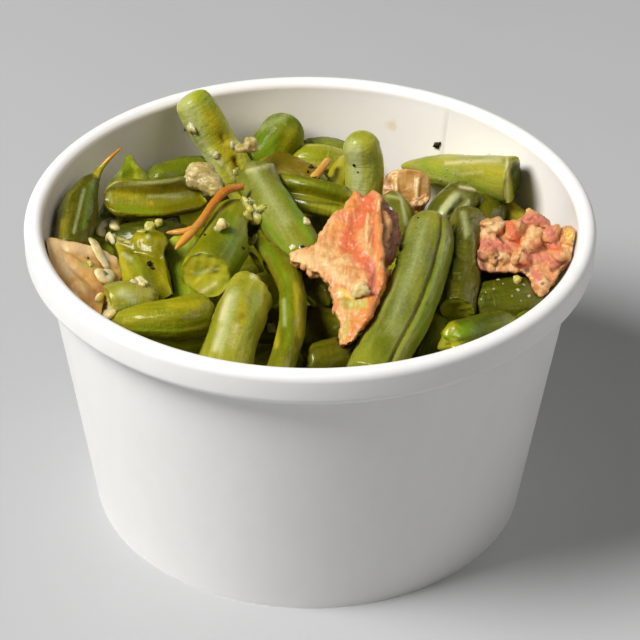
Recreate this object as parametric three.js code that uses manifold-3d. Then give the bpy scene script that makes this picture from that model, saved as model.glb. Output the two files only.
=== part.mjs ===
// A white paper food cup filled with cooked cut green beans, chopped ham,
// onion, a shred of carrot and bits of garlic.
// Millimetres, +Z up, origin at the centre of the cup's base.
import * as THREE from 'three';
import { mergeVertices } from 'three/addons/utils/BufferGeometryUtils.js';
import Module from 'manifold-3d';

const wasm = await Module();
wasm.setup();

// ---------------------------------------------------------------- cup sizes
const rimDiameter = 96;
const baseDiameter = 76;
const cupHeight = 55;
const wallDiameterUnderRim = 89.8;
const paper = 0.7;            // sidewall board
const rimWidth = 3.4;         // rolled lip, across
const rimDepth = 6;           // rolled lip, top to bottom
const rimCorner = 1.5;
const curlGap = 0.35;         // slit between the lip's tucked edge and the wall
const lipInset = 0.25;        // the roll's inner edge stands this far outside the rim's
const cupSegments = 48;

const foldSlot = 1.0;         // slot in the fold that takes the bottom's skirt
const slide = 0.2;            // between the skirt and the wall
const skirt = 0.6;            // board of the bottom disc
const recess = 6;             // underside of the bottom disc above the table

// ---------------------------------------------------------------- food sizes
const clearance = 0.3;        // between neighbouring pieces
const beanSides = 8;
const hiddenBeanSides = 6;
const cornerReach = 1.15;     // a grown section's flat sides keep the clearance too
const ringStep = 6;           // between sections along a bean
const roughTurns = { across: 2.6, along: 1.9 };   // how fast a torn surface rises and falls
const hiddenBeanWidth = 9.8;
const hiddenBeanThickness = 7.4;
const hiddenRowPitch = 9.4;    // at most
const hiddenLayerPitch = 7.7;
const hiddenLayers = 4;
const hiddenBeanGap = 1.5;
const hiddenFirstTurn = 20;   // degrees, the lowest layer
const hiddenNextTurn = 65;    // degrees, each layer on the one below
const longestHalf = 21;       // a chord longer than two of these holds two beans

const weldDistance = 1e-4;    // corners this close are one
const belowLip = 2;           // the food's room runs straight up from here
const headroom = 20;

const rimRadius = rimDiameter / 2;
const baseRadius = baseDiameter / 2;
const underRimZ = cupHeight - rimDepth;
const wallRadiusUnderRim = wallDiameterUnderRim / 2;
const wallSlope = (wallRadiusUnderRim - baseRadius) / underRimZ;
const outerWall = (z) => baseRadius + wallSlope * z;
const innerWall = (z) => outerWall(z) - paper;

// ---------------------------------------------------------------- materials
const finish = (color, roughness) => new THREE.MeshStandardMaterial({ color, roughness, metalness: 0 });
const paperWhite = () => finish(0xf4f2ef, 0.55);
const beanGreen = () => finish(0x7c9a2e, 0.35);
const beanDark = () => finish(0x3f6414, 0.38);
const beanOlive = () => finish(0x8f9a2c, 0.38);
const podInside = () => finish(0x9aa53a, 0.42);
const hamPink = () => finish(0xe8966c, 0.45);
const onionBrown = () => finish(0xc8945c, 0.3);
const carrotOrange = () => finish(0xe87a2c, 0.4);
const garlicCream = () => finish(0xe6d3a0, 0.45);

// ---------------------------------------------------------------- solids
function toSolid(geometry) {
  const bare = geometry.clone();
  bare.deleteAttribute('normal');
  bare.deleteAttribute('uv');
  const merged = mergeVertices(bare, weldDistance);
  const vertProperties = new Float32Array(merged.attributes.position.array);
  const triVerts = new Uint32Array(merged.index.array);
  return new wasm.Manifold(new wasm.Mesh({ numProp: 3, vertProperties, triVerts }));
}

function toGeometry(solid) {
  const mesh = solid.getMesh();
  const geometry = new THREE.BufferGeometry();
  geometry.setAttribute('position', new THREE.BufferAttribute(new Float32Array(mesh.vertProperties), 3));
  geometry.setIndex(new THREE.BufferAttribute(new Uint32Array(mesh.triVerts), 1));
  geometry.computeVertexNormals();
  return geometry;
}

function largestPiece(solid) {
  return solid.decompose().sort((a, b) => b.volume() - a.volume())[0];
}

// ---------------------------------------------------------------- lofts
// A section is a closed list of Vector2: x runs across the piece, y towards its upper face.
function fullSection(sides, groove) {
  return Array.from({ length: sides }, (_, i) => {
    const angle = (2 * Math.PI * i) / sides;
    const dip = groove ? groove.depth * Math.exp(-(((angle - Math.PI / 2) / groove.width) ** 2)) : 0;
    return new THREE.Vector2(Math.cos(angle), Math.sin(angle) * (1 - dip));
  });
}

// Trough: the lower arc of a ring, spread either way from the bottom.
// wall is a fraction of the half width, and filled leaves out the hollow.
function troughArc(spread, radius, steps = 6) {
  return Array.from({ length: steps + 1 }, (_, i) => {
    const angle = -Math.PI / 2 - spread + (2 * spread * i) / steps;
    return new THREE.Vector2(radius * Math.cos(angle), radius * Math.sin(angle));
  });
}

function troughSection({ spread, wall }, filled) {
  const inside = filled ? troughArc(spread, 1 - wall, 1) : troughArc(spread, 1 - wall);
  return [...troughArc(spread, 1), ...inside.reverse()];
}

// Ends as [distance inwards from the end of the spine, scale], both in half widths.
// A rounded end bulges past its spine.
const endProfiles = {
  round: [[-0.92, 0.36], [-0.68, 0.72], [-0.1, 1]],
  cut: [[0, 0.97]],
  snapped: [[0, 0.74], [0.5, 1]],
  tip: [[0, 0.18], [0.9, 0.55], [2, 0.84], [3.2, 1]],
};

function stationsAlong(piece, length) {
  const half = piece.width / 2;
  if (piece.scales) return piece.scales.map(([u, s]) => [u * length, s]);
  const head = endProfiles[piece.start ?? 'round'].map(([d, s]) => [d * half, s]);
  const tail = endProfiles[piece.end ?? 'round'].map(([d, s]) => [length - d * half, s]).reverse();
  const from = head.at(-1)[0];
  const to = tail[0][0];
  const count = Math.max(1, Math.round((to - from) / (piece.step ?? ringStep)));
  const middle = Array.from({ length: count - 1 }, (_, i) => [from + ((to - from) * (i + 1)) / count, 1]);
  return [...head, ...middle, ...tail];
}

function loft(piece, grow = 0) {
  const points = piece.spine.map((p) => new THREE.Vector3(...p));
  const curve = new THREE.CatmullRomCurve3(points, false, 'centripetal');
  const length = curve.getLength();
  const section = piece.section ?? fullSection(piece.sides ?? beanSides, piece.groove);
  const stations = stationsAlong(piece, length);
  const facing = new THREE.Vector3(...(piece.facing ?? [0, 0, 1])).normalize();
  const breadth = new THREE.Vector2(piece.width, piece.thickness);
  const middle = new THREE.Vector2();
  section.forEach((corner) => middle.addScaledVector(corner, 1 / section.length));
  const positions = [];
  stations.forEach(([distance, scale], row) => {
    const u = THREE.MathUtils.clamp(distance / length, 0, 1);
    const centre = curve.getPointAt(u);
    const along = curve.getTangentAt(u);
    centre.addScaledVector(along, distance - u * length);
    const across = new THREE.Vector3().crossVectors(facing, along).normalize();
    const upward = new THREE.Vector3().crossVectors(along, across);
    const taper = THREE.MathUtils.lerp(1, piece.taper ?? 1, u);
    if (row === 0) centre.addScaledVector(along, -grow);
    if (row === stations.length - 1) centre.addScaledVector(along, grow);
    section.forEach((corner, k) => {
      const turn = roughTurns.across * k + roughTurns.along * row + (piece.phase ?? 0);
      const rough = 1 + (piece.rough ?? 0) * Math.sin(turn);
      const outwards = corner.clone().sub(middle).multiply(breadth).normalize();
      const spot = corner.clone().multiply(breadth).multiplyScalar((scale * taper * rough) / 2);
      spot.addScaledVector(outwards, grow * cornerReach);
      const point = centre.clone().addScaledVector(across, spot.x).addScaledVector(upward, spot.y);
      positions.push(point.x, point.y, point.z);
    });
  });
  return skin(positions, section, stations.length);
}

function skin(positions, section, rows) {
  const n = section.length;
  const indices = [];
  for (let row = 0; row < rows - 1; row += 1) {
    for (let k = 0; k < n; k += 1) {
      const a = row * n + k;
      const b = row * n + ((k + 1) % n);
      indices.push(a, b, b + n, a, b + n, a + n);
    }
  }
  THREE.ShapeUtils.triangulateShape(section, []).forEach(([a, b, c]) => {
    const last = (rows - 1) * n;
    indices.push(c, b, a, last + a, last + b, last + c);
  });
  const geometry = new THREE.BufferGeometry();
  geometry.setAttribute('position', new THREE.Float32BufferAttribute(positions, 3));
  geometry.setIndex(indices);
  geometry.computeVertexNormals();
  return geometry;
}

function tinted(name, solid, material) {
  const mesh = new THREE.Mesh(toGeometry(solid), material);
  mesh.name = name;
  return mesh;
}

// A rough knob of chopped ham or garlic: a faceted ball pushed in and out along its own directions.
const knob = { broad: 0.16, small: 0.1, turnX: 4.1, turnY: 3.7, turnZ: 5.3 };

function lump({ centre, size, phase = 0, detail = 1 }) {
  const ball = new THREE.IcosahedronGeometry(1, detail);
  const spot = ball.attributes.position;
  const dir = new THREE.Vector3();
  for (let i = 0; i < spot.count; i += 1) {
    dir.fromBufferAttribute(spot, i);
    const swell = knob.broad * Math.sin(knob.turnX * dir.x + phase) * Math.cos(knob.turnY * dir.y - phase);
    const dent = knob.small * Math.sin(knob.turnZ * dir.z + 2 * phase);
    dir.multiplyScalar(1 + swell + dent);
    spot.setXYZ(i, centre[0] + dir.x * size[0], centre[1] + dir.y * size[1], centre[2] + dir.z * size[2]);
  }
  return toSolid(ball);
}

function fused(solids) {
  return solids.reduce((whole, next) => whole.add(next));
}

// ---------------------------------------------------------------- the cup
function arc(centreX, centreY, radius, fromDegrees, toDegrees, steps) {
  return Array.from({ length: steps + 1 }, (_, i) => {
    const angle = THREE.MathUtils.degToRad(fromDegrees + ((toDegrees - fromDegrees) * i) / steps);
    return [centreX + radius * Math.cos(angle), centreY + radius * Math.sin(angle)];
  });
}

function turned(profile) {
  const points = profile.map(([radius, z]) => new THREE.Vector2(radius, z));
  const geometry = new THREE.LatheGeometry(points, cupSegments);
  geometry.rotateX(Math.PI / 2);
  return toSolid(geometry);
}

// One strip of board: folded hem at the foot, tapered wall, lip rolled outwards and tucked under.
function cupSidewall() {
  const lipInner = rimRadius - rimWidth;
  const rollTop = cupHeight - rimCorner;
  const rollFoot = underRimZ + rimCorner;
  const innerCorner = rimCorner - paper;
  const lipInside = [
    [outerWall(rollTop), rollTop],
    ...arc(rimRadius - rimCorner, rollTop, innerCorner, 90, 0, 1),
    ...arc(rimRadius - rimCorner, rollFoot, innerCorner, 0, -90, 1),
    [outerWall(rollFoot) + curlGap, underRimZ + paper],
  ];
  const lipOutside = [
    [outerWall(underRimZ) + curlGap, underRimZ],
    ...arc(rimRadius - rimCorner, rollFoot, rimCorner, -90, 0, 3),
    ...arc(rimRadius - rimCorner, rollTop, rimCorner, 0, 90, 3),
    ...arc(lipInner + lipInset + rimCorner, rollTop, rimCorner, 90, 180, 2),
  ];
  const fold = [
    [innerWall(paper), paper],
    [innerWall(paper) - foldSlot, paper],
    [innerWall(recess) - foldSlot, recess - clearance],
    [innerWall(recess) - foldSlot - paper, recess - clearance],
    [innerWall(0) - foldSlot - paper, 0],
  ];
  return turned([[baseRadius, 0], ...lipInside, ...lipOutside, ...fold, [baseRadius, 0]]);
}

// The disc and the skirt that hangs from it into the fold.
function cupBottom() {
  const skirtFoot = paper + clearance;
  const top = recess + skirt;
  return turned([
    [0, recess],
    [innerWall(recess) - slide - skirt, recess],
    [innerWall(skirtFoot) - slide - skirt, skirtFoot],
    [innerWall(skirtFoot) - slide, skirtFoot],
    [innerWall(top) - slide, top],
    [0, top],
  ]);
}

// The room that the food may fill, clear of the board.
function cupRoom() {
  const floor = recess + skirt + clearance;
  const lipZ = cupHeight - belowLip;
  const above = cupHeight + headroom;
  return turned([
    [0, floor],
    [innerWall(floor) - clearance, floor],
    [innerWall(lipZ) - clearance, lipZ],
    [innerWall(lipZ) - clearance, above],
    [0, above],
  ]);
}

// ---------------------------------------------------------------- the food on show
// Listed from the topmost piece down: a piece is pressed in by every piece above it.
// spine is its centre line; facing is the way its upper face looks.
const toViewer = [0, -0.6, 0.8];

const foodPieces = [
  {
    name: 'carrot_shred', finish: carrotOrange, width: 1.7, thickness: 1.3, sides: 6, start: 'snapped',
    end: 'tip', step: 3,
    spine: [[-11.9, 12.4, 52.4], [-15.3, 10, 53], [-17.6, 6.2, 52.5], [-18.9, 2.8, 52.2],
      [-19.9, 0.6, 51.6], [-22.4, -2.6, 50.6]],
    branch: [[-19.2, 2, 51.9], [-22, 0, 51.4], [-24.6, 0.2, 50.8]],
  },
  {
    name: 'carrot_shred_small', finish: carrotOrange, width: 1.4, thickness: 1.2, sides: 6,
    start: 'snapped', end: 'snapped',
    spine: [[2.2, 30.4, 47.6], [2.7, 28.9, 47.8], [1.6, 27.2, 47.4]],
  },
  {
    name: 'bean_leaning_back', finish: beanOlive, width: 7, thickness: 6.6, facing: [0.3, -1, 0.4],
    end: 'cut',
    spine: [[-21.2, 34.4, 55.6], [-17.9, 32.8, 50.3], [-15, 31.5, 45.6], [-10, 29.5, 37.5]],
  },
  {
    name: 'bean_centre', finish: beanGreen, width: 7.6, thickness: 6.2, start: 'snapped',
    end: 'snapped', facing: toViewer,
    spine: [[-10.4, 21.8, 48.8], [-6.5, 9.3, 49.5], [-1.9, -0.8, 48.6]],
  },
  {
    name: 'bean_grooved_front', finish: beanGreen, width: 8.8, thickness: 6.4, sides: 12,
    facing: toViewer, end: 'cut',
    groove: { depth: 0.42, width: 0.36 },
    spine: [[20.6, 3.4, 51.4], [19, -8.5, 51], [15.9, -21, 49.6], [11.9, -30.6, 47.2], [10.2, -35, 45.6]],
  },
  {
    name: 'bean_upright', finish: beanGreen, width: 6.7, thickness: 6.4, facing: [0, -1, 0.2], end: 'cut',
    spine: [[8.9, 27.2, 51.2], [9.4, 26.9, 48.5], [9.3, 25.2, 43], [8.8, 23.5, 36.5]],
  },
  {
    name: 'bean_right_long', finish: beanOlive, width: 5.2, thickness: 5, taper: 1.72, start: 'tip',
    end: 'cut',
    spine: [[16.6, 36, 42.6], [26.4, 29, 45.4], [35.3, 18.3, 50.4]],
  },
  {
    name: 'pod_strip_front', finish: podInside, width: 4.6, thickness: 3, facing: toViewer,
    start: 'snapped', end: 'cut',
    trough: { spread: 1.35, wall: 0.5 }, taper: 1.12,
    spine: [[-8.3, 4.6, 46.4], [-5, -4.6, 47.4], [-3, -14.2, 48.2], [-3.5, -25.6, 48.2], [-5.2, -34, 46.8]],
  },
  {
    name: 'bean_front_left', finish: beanGreen, width: 9, thickness: 7.4, start: 'snapped',
    end: 'round', facing: toViewer,
    spine: [[-9.8, -12, 47.8], [-11.6, -21.1, 47.6], [-13.1, -30.2, 46], [-13.8, -35.6, 44.4]],
  },
  {
    name: 'pod_half_left', finish: podInside, width: 6.6, thickness: 5.4, facing: [0.05, -0.75, 0.66],
    start: 'tip', end: 'snapped',
    trough: { spread: 1.6, wall: 0.26 },
    spine: [[-36.6, 14.4, 50], [-28, 12.4, 50.3], [-19.4, 15.2, 49.7]],
  },
  {
    name: 'bean_left_tailed', finish: beanDark, width: 6, thickness: 5.8, start: 'tip', end: 'cut',
    spine: [[-37.4, 16.4, 52.6], [-38.6, 11, 51.2], [-39.8, 4.4, 49.6], [-40.2, -3.4, 48]],
    branch: [[-37.6, 14.6, 52.4], [-36.2, 16.6, 54.6], [-33.4, 19, 56.2]],
  },
  {
    name: 'bean_left_cut_open', finish: beanDark, width: 8.6, thickness: 7.6, end: 'cut', facing: toViewer,
    spine: [[-13.1, 8.2, 47.4], [-14.2, 1, 48], [-17.4, -8.2, 47]],
  },
  {
    name: 'bean_left_ragged', finish: beanOlive, width: 7, thickness: 5.8, start: 'snapped',
    end: 'snapped', rough: 0.06,
    spine: [[-31, 0.2, 48.1], [-27.7, -7.2, 47.6], [-25.4, -12.8, 46.4]],
  },
  {
    name: 'bean_left_pale_end', finish: beanOlive, width: 5.6, thickness: 5, start: 'cut', end: 'snapped',
    spine: [[-33, -17.2, 47.6], [-29.6, -16.2, 47.8], [-25.6, -15.4, 46.6]],
  },
  {
    name: 'bean_front_left_long', finish: beanOlive, width: 7.4, thickness: 7, start: 'tip', end: 'snapped',
    spine: [[-33.6, -20.4, 45.6], [-27, -21.6, 46.8], [-21.4, -21.6, 47.2], [-16.4, -18.4, 46.4]],
  },
  {
    name: 'pod_split_centre', finish: beanGreen, width: 6.4, thickness: 5.2, facing: [0, -0.9, 0.5],
    start: 'snapped', end: 'snapped', trough: { spread: 2.3, wall: 0.34 },
    spine: [[-5.6, 19.8, 46.4], [0.1, 17.4, 46.8], [7, 16.2, 45.6]],
  },
  {
    name: 'bean_right_upright', finish: beanDark, width: 6.2, thickness: 5.8, end: 'cut', facing: toViewer,
    spine: [[27, 6.2, 48.8], [25.6, -6.4, 48.2], [24.4, -16.2, 46]],
  },
  {
    name: 'bean_right_upper', finish: beanDark, width: 6.6, thickness: 6, start: 'cut', end: 'round',
    spine: [[26.9, 16, 48.5], [24.2, 11.8, 47.7], [21.2, 6.8, 45]],
  },
  {
    name: 'bean_right_behind', finish: beanDark, width: 6, thickness: 5.6, start: 'round', end: 'round',
    spine: [[31.4, 16.8, 45.8], [30.2, 11.5, 45.2], [28, 4.4, 42.4]],
  },
  {
    name: 'bean_back_end', finish: beanGreen, width: 8.2, thickness: 7.6, end: 'cut',
    facing: [0, -0.8, 0.6],
    spine: [[-6.4, 38.2, 47.5], [-7.8, 36.8, 44.8], [-9.8, 34.4, 41.5]],
  },
  {
    name: 'bean_left_stub', finish: beanDark, width: 6.6, thickness: 6.2, start: 'snapped', end: 'cut',
    facing: [0, -1, 0.6],
    spine: [[-32.5, 23.4, 50], [-31.7, 17.6, 46], [-30.6, 10, 41.6]],
  },
  {
    name: 'bean_behind_ham', finish: beanGreen, width: 6, thickness: 5.6, end: 'cut', facing: toViewer,
    spine: [[13.3, 16.8, 46.4], [15.2, 13.6, 45.4], [16.6, 10.6, 41.6]],
  },
  {
    name: 'bean_flat_back', finish: beanOlive, width: 7, thickness: 4.4, start: 'snapped',
    end: 'snapped', rough: 0.05, facing: toViewer,
    spine: [[-7.8, 32.2, 45], [-3.6, 27.8, 45.2], [1.8, 24.6, 44]],
  },
  {
    name: 'bean_back_middle', finish: beanOlive, width: 6, thickness: 5, start: 'snapped', end: 'snapped',
    spine: [[-2.8, 36.2, 44], [1.5, 35.4, 44.2], [6.4, 35.8, 43]],
  },
  {
    name: 'bean_back_small', finish: beanDark, width: 3.8, thickness: 3.8, start: 'snapped', end: 'round',
    spine: [[-1, 40, 43.6], [2.8, 40.4, 43.8], [7, 39.4, 43.2]],
  },
  {
    name: 'bean_back_dark', finish: beanDark, width: 6, thickness: 5.6, start: 'round', end: 'round',
    spine: [[6.4, 32, 43.8], [4.8, 27.6, 42.6], [2, 20.6, 40.6]],
  },
  {
    name: 'bean_back_left', finish: beanDark, width: 6.4, thickness: 6, start: 'round', end: 'round',
    spine: [[-26.6, 27.6, 44.2], [-22.9, 29.6, 44.3], [-18, 30.6, 43.8]],
  },
  {
    name: 'bean_left_behind', finish: beanOlive, width: 6.6, thickness: 6, start: 'round', end: 'cut',
    rough: 0.05,
    spine: [[-32.6, 6.2, 44.4], [-27.7, 5.6, 45.6], [-22.4, 9.2, 45]],
  },
  {
    name: 'bean_left_low', finish: beanGreen, width: 8, thickness: 7, start: 'round', end: 'round',
    facing: toViewer,
    spine: [[-22.2, 3.8, 43.6], [-21.5, -3.6, 43.2], [-21, -9, 41.6]],
  },
  {
    name: 'bean_right_front', finish: beanDark, width: 8.4, thickness: 7.8, start: 'cut', end: 'round',
    spine: [[27.6, -12.6, 44.4], [33, -11.8, 44.6], [37.6, -10, 44.2]],
  },
  {
    name: 'bean_front_right_cut', finish: beanOlive, width: 7, thickness: 6.6, start: 'cut', end: 'round',
    spine: [[22.6, -27.2, 46.6], [27, -23.8, 46], [31.4, -19.4, 44.2]],
  },
  {
    name: 'bean_front_low', finish: beanOlive, width: 7, thickness: 6.6, start: 'round', end: 'round',
    spine: [[-2.6, -30, 43.6], [2.4, -29, 44.4], [9, -25.6, 43.6]],
  },
  {
    name: 'bean_right_shadow', finish: beanDark, width: 5.6, thickness: 5.2, start: 'round', end: 'round',
    spine: [[31, 23.6, 42], [34.4, 19.6, 42.6], [37, 14.6, 43]],
  },
  {
    name: 'bean_front_left_under', finish: beanDark, width: 7, thickness: 6.4, start: 'round', end: 'round',
    spine: [[-27, -20.6, 40.2], [-19.5, -19.2, 40.6], [-12.4, -15.6, 40.6]],
  },
  {
    name: 'bean_under_ham', finish: beanOlive, width: 7, thickness: 5.6, start: 'round', end: 'snapped',
    spine: [[-4.6, 2.4, 43.4], [0.5, -3, 43.6], [4.8, -8.6, 42.4]],
  },
  {
    name: 'bean_under_front', finish: beanDark, width: 7.4, thickness: 6.4, start: 'round', end: 'cut',
    spine: [[-7.6, -13.6, 41], [2, -14.4, 41.2], [12, -17.4, 41.4]],
  },
  {
    name: 'bean_under_right', finish: beanDark, width: 7.4, thickness: 6.4, start: 'round', end: 'round',
    spine: [[17.6, -2.4, 42.4], [22.4, -16, 41.2], [20.8, -25.4, 40.8]],
  },
  {
    name: 'bean_under_pile', finish: beanDark, width: 7.4, thickness: 6.8, start: 'cut', end: 'round',
    spine: [[28.6, -1.6, 43], [34, -2.2, 43.4], [38.6, 0.6, 43.6]],
  },
  {
    name: 'bean_wall_front_left', finish: beanDark, width: 7.4, thickness: 6.8, start: 'cut', end: 'cut',
    spine: [[-32, -26, 43.4], [-23.5, -33, 44], [-13, -38.6, 43.2]],
  },
  {
    name: 'bean_wall_front', finish: beanDark, width: 7, thickness: 6.6, start: 'cut', end: 'cut',
    spine: [[-8, -39.4, 43.4], [2, -40, 43.8], [13, -38.8, 42.8]],
  },
  {
    name: 'bean_wall_front_right', finish: beanDark, width: 7.6, thickness: 7, start: 'round', end: 'round',
    spine: [[20, -35.2, 42.6], [29, -28.6, 42.8], [36.4, -17.6, 42.8]],
  },
  {
    name: 'bean_under_left', finish: beanDark, width: 7.4, thickness: 6.6, start: 'round', end: 'round',
    spine: [[-35.6, -6.4, 42.2], [-31.4, -11.4, 41.8], [-30.2, -19, 41]],
  },
];

const onionPieces = [
  {
    name: 'onion_piece_left', finish: onionBrown, width: 11, thickness: 3.4,
    facing: [0.35, -0.45, 0.82], start: 'snapped', end: 'snapped',
    trough: { spread: 1, wall: 0.42 },
    spine: [[-42.2, -1.6, 49], [-38.4, -8, 49.2], [-34.4, -14.6, 48.4]],
  },
  {
    name: 'onion_piece_back', finish: onionBrown, width: 6.4, thickness: 4,
    facing: [0.05, -0.8, 0.6], start: 'snapped', end: 'snapped',
    trough: { spread: 1.1, wall: 0.5 },
    spine: [[13.2, 24.4, 45.2], [17.2, 25, 45.6], [21.8, 23.8, 45]],
  },
];

// The big flake of ham: a spine with its own widths, and a torn tab at its left edge.
const hamFlake = {
  width: 13, thickness: 6.4, sides: 12, rough: 0.07, phase: 0.8, facing: [-0.3, -0.5, 0.8],
  spine: [
    [11.4, 4.8, 56], [9.6, 0.9, 55.4], [8.4, -6.1, 53.8], [7, -12.1, 52.6], [7.8, -17.2, 51.6],
    [7.4, -23.1, 50.6], [6.9, -28.1, 49.4], [6.5, -30, 48.6],
  ],
  scales: [[0, 0.16], [0.08, 0.5], [0.2, 0.82], [0.33, 1], [0.48, 0.86], [0.64, 0.72], [0.8, 0.5],
    [0.94, 0.26], [1, 0.12]],
};
const hamTab = [
  { centre: [1.6, -8.4, 51.4], size: [2.6, 1.9, 1.7] },
  { centre: [-0.8, -7.6, 51.2], size: [1.8, 1.6, 1.3], phase: 1 },
];

const hamPile = [
  { centre: [30.6, 1.8, 50], size: [2.9, 2.6, 2.5] },
  { centre: [31.2, -3.6, 49.4], size: [3.2, 3.2, 2.8], phase: 1 },
  { centre: [34.4, -1, 51.2], size: [3.2, 3, 2.6], phase: 2 },
  { centre: [38.2, 0.4, 51.2], size: [3.1, 2.7, 2.6], phase: 3 },
  { centre: [36.2, -5.6, 50.2], size: [3.4, 3.2, 2.7], phase: 4 },
  { centre: [41, -4.2, 51.6], size: [3, 3.4, 2.4], phase: 5 },
  { centre: [39, -9.4, 49.8], size: [2.7, 3.4, 2.3], phase: 6 },
];

const hamBits = [
  { centre: [16.8, 18.4, 46], size: [2.2, 1.6, 1.8], phase: 2 },
  { centre: [19.4, 17.6, 45.6], size: [2, 1.5, 2.2], phase: 4 },
];

const garlicBits = [
  { name: 'garlic_crumb_large', lumps: [{ centre: [-19.2, 16.2, 52.6], size: [3, 2.6, 2.2] }] },
  { name: 'garlic_crumb_back', lumps: [{ centre: [-10.9, 27.2, 52], size: [1.7, 1.5, 1.6], phase: 2 }] },
  { name: 'garlic_crumb_middle', lumps: [{ centre: [-14.6, -1.2, 52.6], size: [1.3, 1, 0.9], phase: 3 }] },
];

function flakeSolid(grow = 0) {
  const flake = toSolid(loft(hamFlake, grow));
  return fused([flake, ...hamTab.map(lump)]);
}

// ---------------------------------------------------------------- the beans underneath
// Straight rows across the cup, each row's beans pressed into the next row, each layer turned on the last.
function hiddenLayer(index) {
  const floor = recess + skirt + clearance;
  const z = floor + hiddenBeanThickness / 2 + index * hiddenLayerPitch;
  const reach = innerWall(z) - clearance;
  const turn = THREE.MathUtils.degToRad(hiddenFirstTurn + hiddenNextTurn * index);
  const span = 2 * reach - hiddenBeanWidth;
  const gaps = Math.ceil(span / hiddenRowPitch);
  const shape = { width: hiddenBeanWidth, thickness: hiddenBeanThickness, sides: hiddenBeanSides };
  const beans = [];
  for (let row = 0; row <= gaps; row += 1) {
    const side = span * (row / gaps - 0.5);
    const halfChord = Math.sqrt(reach ** 2 - side ** 2) - hiddenBeanWidth / 4;
    const count = halfChord > longestHalf ? 2 : 1;
    const length = (2 * halfChord - (count - 1) * hiddenBeanGap) / count;
    for (let k = 0; k < count; k += 1) {
      const from = -halfChord + k * (length + hiddenBeanGap);
      const ends = [from, from + length].map((along) => [
        along * Math.cos(turn) - side * Math.sin(turn),
        along * Math.sin(turn) + side * Math.cos(turn),
        z,
      ]);
      beans.push(toSolid(loft({ ...shape, spine: ends, start: 'cut', end: 'cut', step: 2 * reach })));
    }
  }
  return fused(beans);
}

// ---------------------------------------------------------------- assembly
// The thin end or side shoot of a piece that has a branch.
const twig = { width: 1.5, thickness: 1.3, sides: 6, start: 'snapped', end: 'tip', step: 3 };

// grow asks for the same piece a little fatter, with its hollow filled: the room that it takes up.
function foodSolid(piece, grow = 0) {
  const section = piece.trough && troughSection(piece.trough, grow > 0);
  const body = toSolid(loft(section ? { ...piece, section } : piece, grow));
  if (!piece.branch) return body;
  return body.add(toSolid(loft({ ...twig, spine: piece.branch }, grow)));
}

function touches(a, b) {
  const p = a.boundingBox();
  const q = b.boundingBox();
  return [0, 1, 2].every((i) => p.min[i] < q.max[i] && q.min[i] < p.max[i]);
}

// Everything from the top down: [name, material, solid as drawn, the room it asks of what lies below].
function foodFromTheTop() {
  const lumps = (list, grow) => fused(list.map((l) => lump({ ...l, size: l.size.map((s) => s + grow) })));
  const lofted = (piece) => [piece.name, piece.finish(), foodSolid(piece), foodSolid(piece, clearance)];
  const stack = [];
  garlicBits.forEach((bit) => {
    stack.push([bit.name, garlicCream(), lumps(bit.lumps, 0), lumps(bit.lumps, clearance)]);
  });
  stack.push(['ham_flake', hamPink(), flakeSolid(), flakeSolid(clearance)]);
  stack.push(['ham_pile_right', hamPink(), lumps(hamPile, 0), lumps(hamPile, clearance)]);
  stack.push(...onionPieces.map(lofted));
  stack.push(['ham_bits_back', hamPink(), lumps(hamBits, 0), lumps(hamBits, clearance)]);
  stack.push(...foodPieces.map(lofted));
  for (let index = hiddenLayers - 1; index >= 0; index -= 1) {
    const layer = hiddenLayer(index);
    stack.push([`hidden_beans_layer_${index + 1}`, beanDark(), layer, layer]);
  }
  return stack;
}

const cup = new THREE.Group();
cup.add(tinted('cup_sidewall', cupSidewall(), paperWhite()));
cup.add(tinted('cup_bottom', cupBottom(), paperWhite()));

const room = cupRoom();
const placed = [];
foodFromTheTop().forEach(([name, material, drawn, roomAsked]) => {
  let solid = room.intersect(drawn);
  placed.filter((upper) => touches(upper, solid)).forEach((upper) => {
    solid = solid.subtract(upper);
  });
  placed.push(roomAsked);
  cup.add(tinted(name, largestPiece(solid), material));
});

export default cup;
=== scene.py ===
import math

import bmesh
import bpy
import numpy as np
from mathutils import Euler, Matrix, Vector, noise
from mathutils.bvhtree import BVHTree


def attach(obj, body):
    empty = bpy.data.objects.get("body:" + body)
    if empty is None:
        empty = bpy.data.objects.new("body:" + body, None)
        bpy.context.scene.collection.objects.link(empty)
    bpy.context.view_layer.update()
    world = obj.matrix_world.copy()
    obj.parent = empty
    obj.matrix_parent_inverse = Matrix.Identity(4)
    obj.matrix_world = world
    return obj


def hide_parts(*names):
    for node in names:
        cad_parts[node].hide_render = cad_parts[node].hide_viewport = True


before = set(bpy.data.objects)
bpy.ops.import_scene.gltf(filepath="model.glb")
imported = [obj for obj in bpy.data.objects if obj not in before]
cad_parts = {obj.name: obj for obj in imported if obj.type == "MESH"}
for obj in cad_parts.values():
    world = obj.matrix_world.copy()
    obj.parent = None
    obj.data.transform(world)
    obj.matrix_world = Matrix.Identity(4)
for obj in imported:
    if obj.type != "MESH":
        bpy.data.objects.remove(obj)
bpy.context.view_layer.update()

# lengths are millimetres here, and meshes are turned into metres as they are made
mm = 0.001

print("camera, floor and lights")

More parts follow.
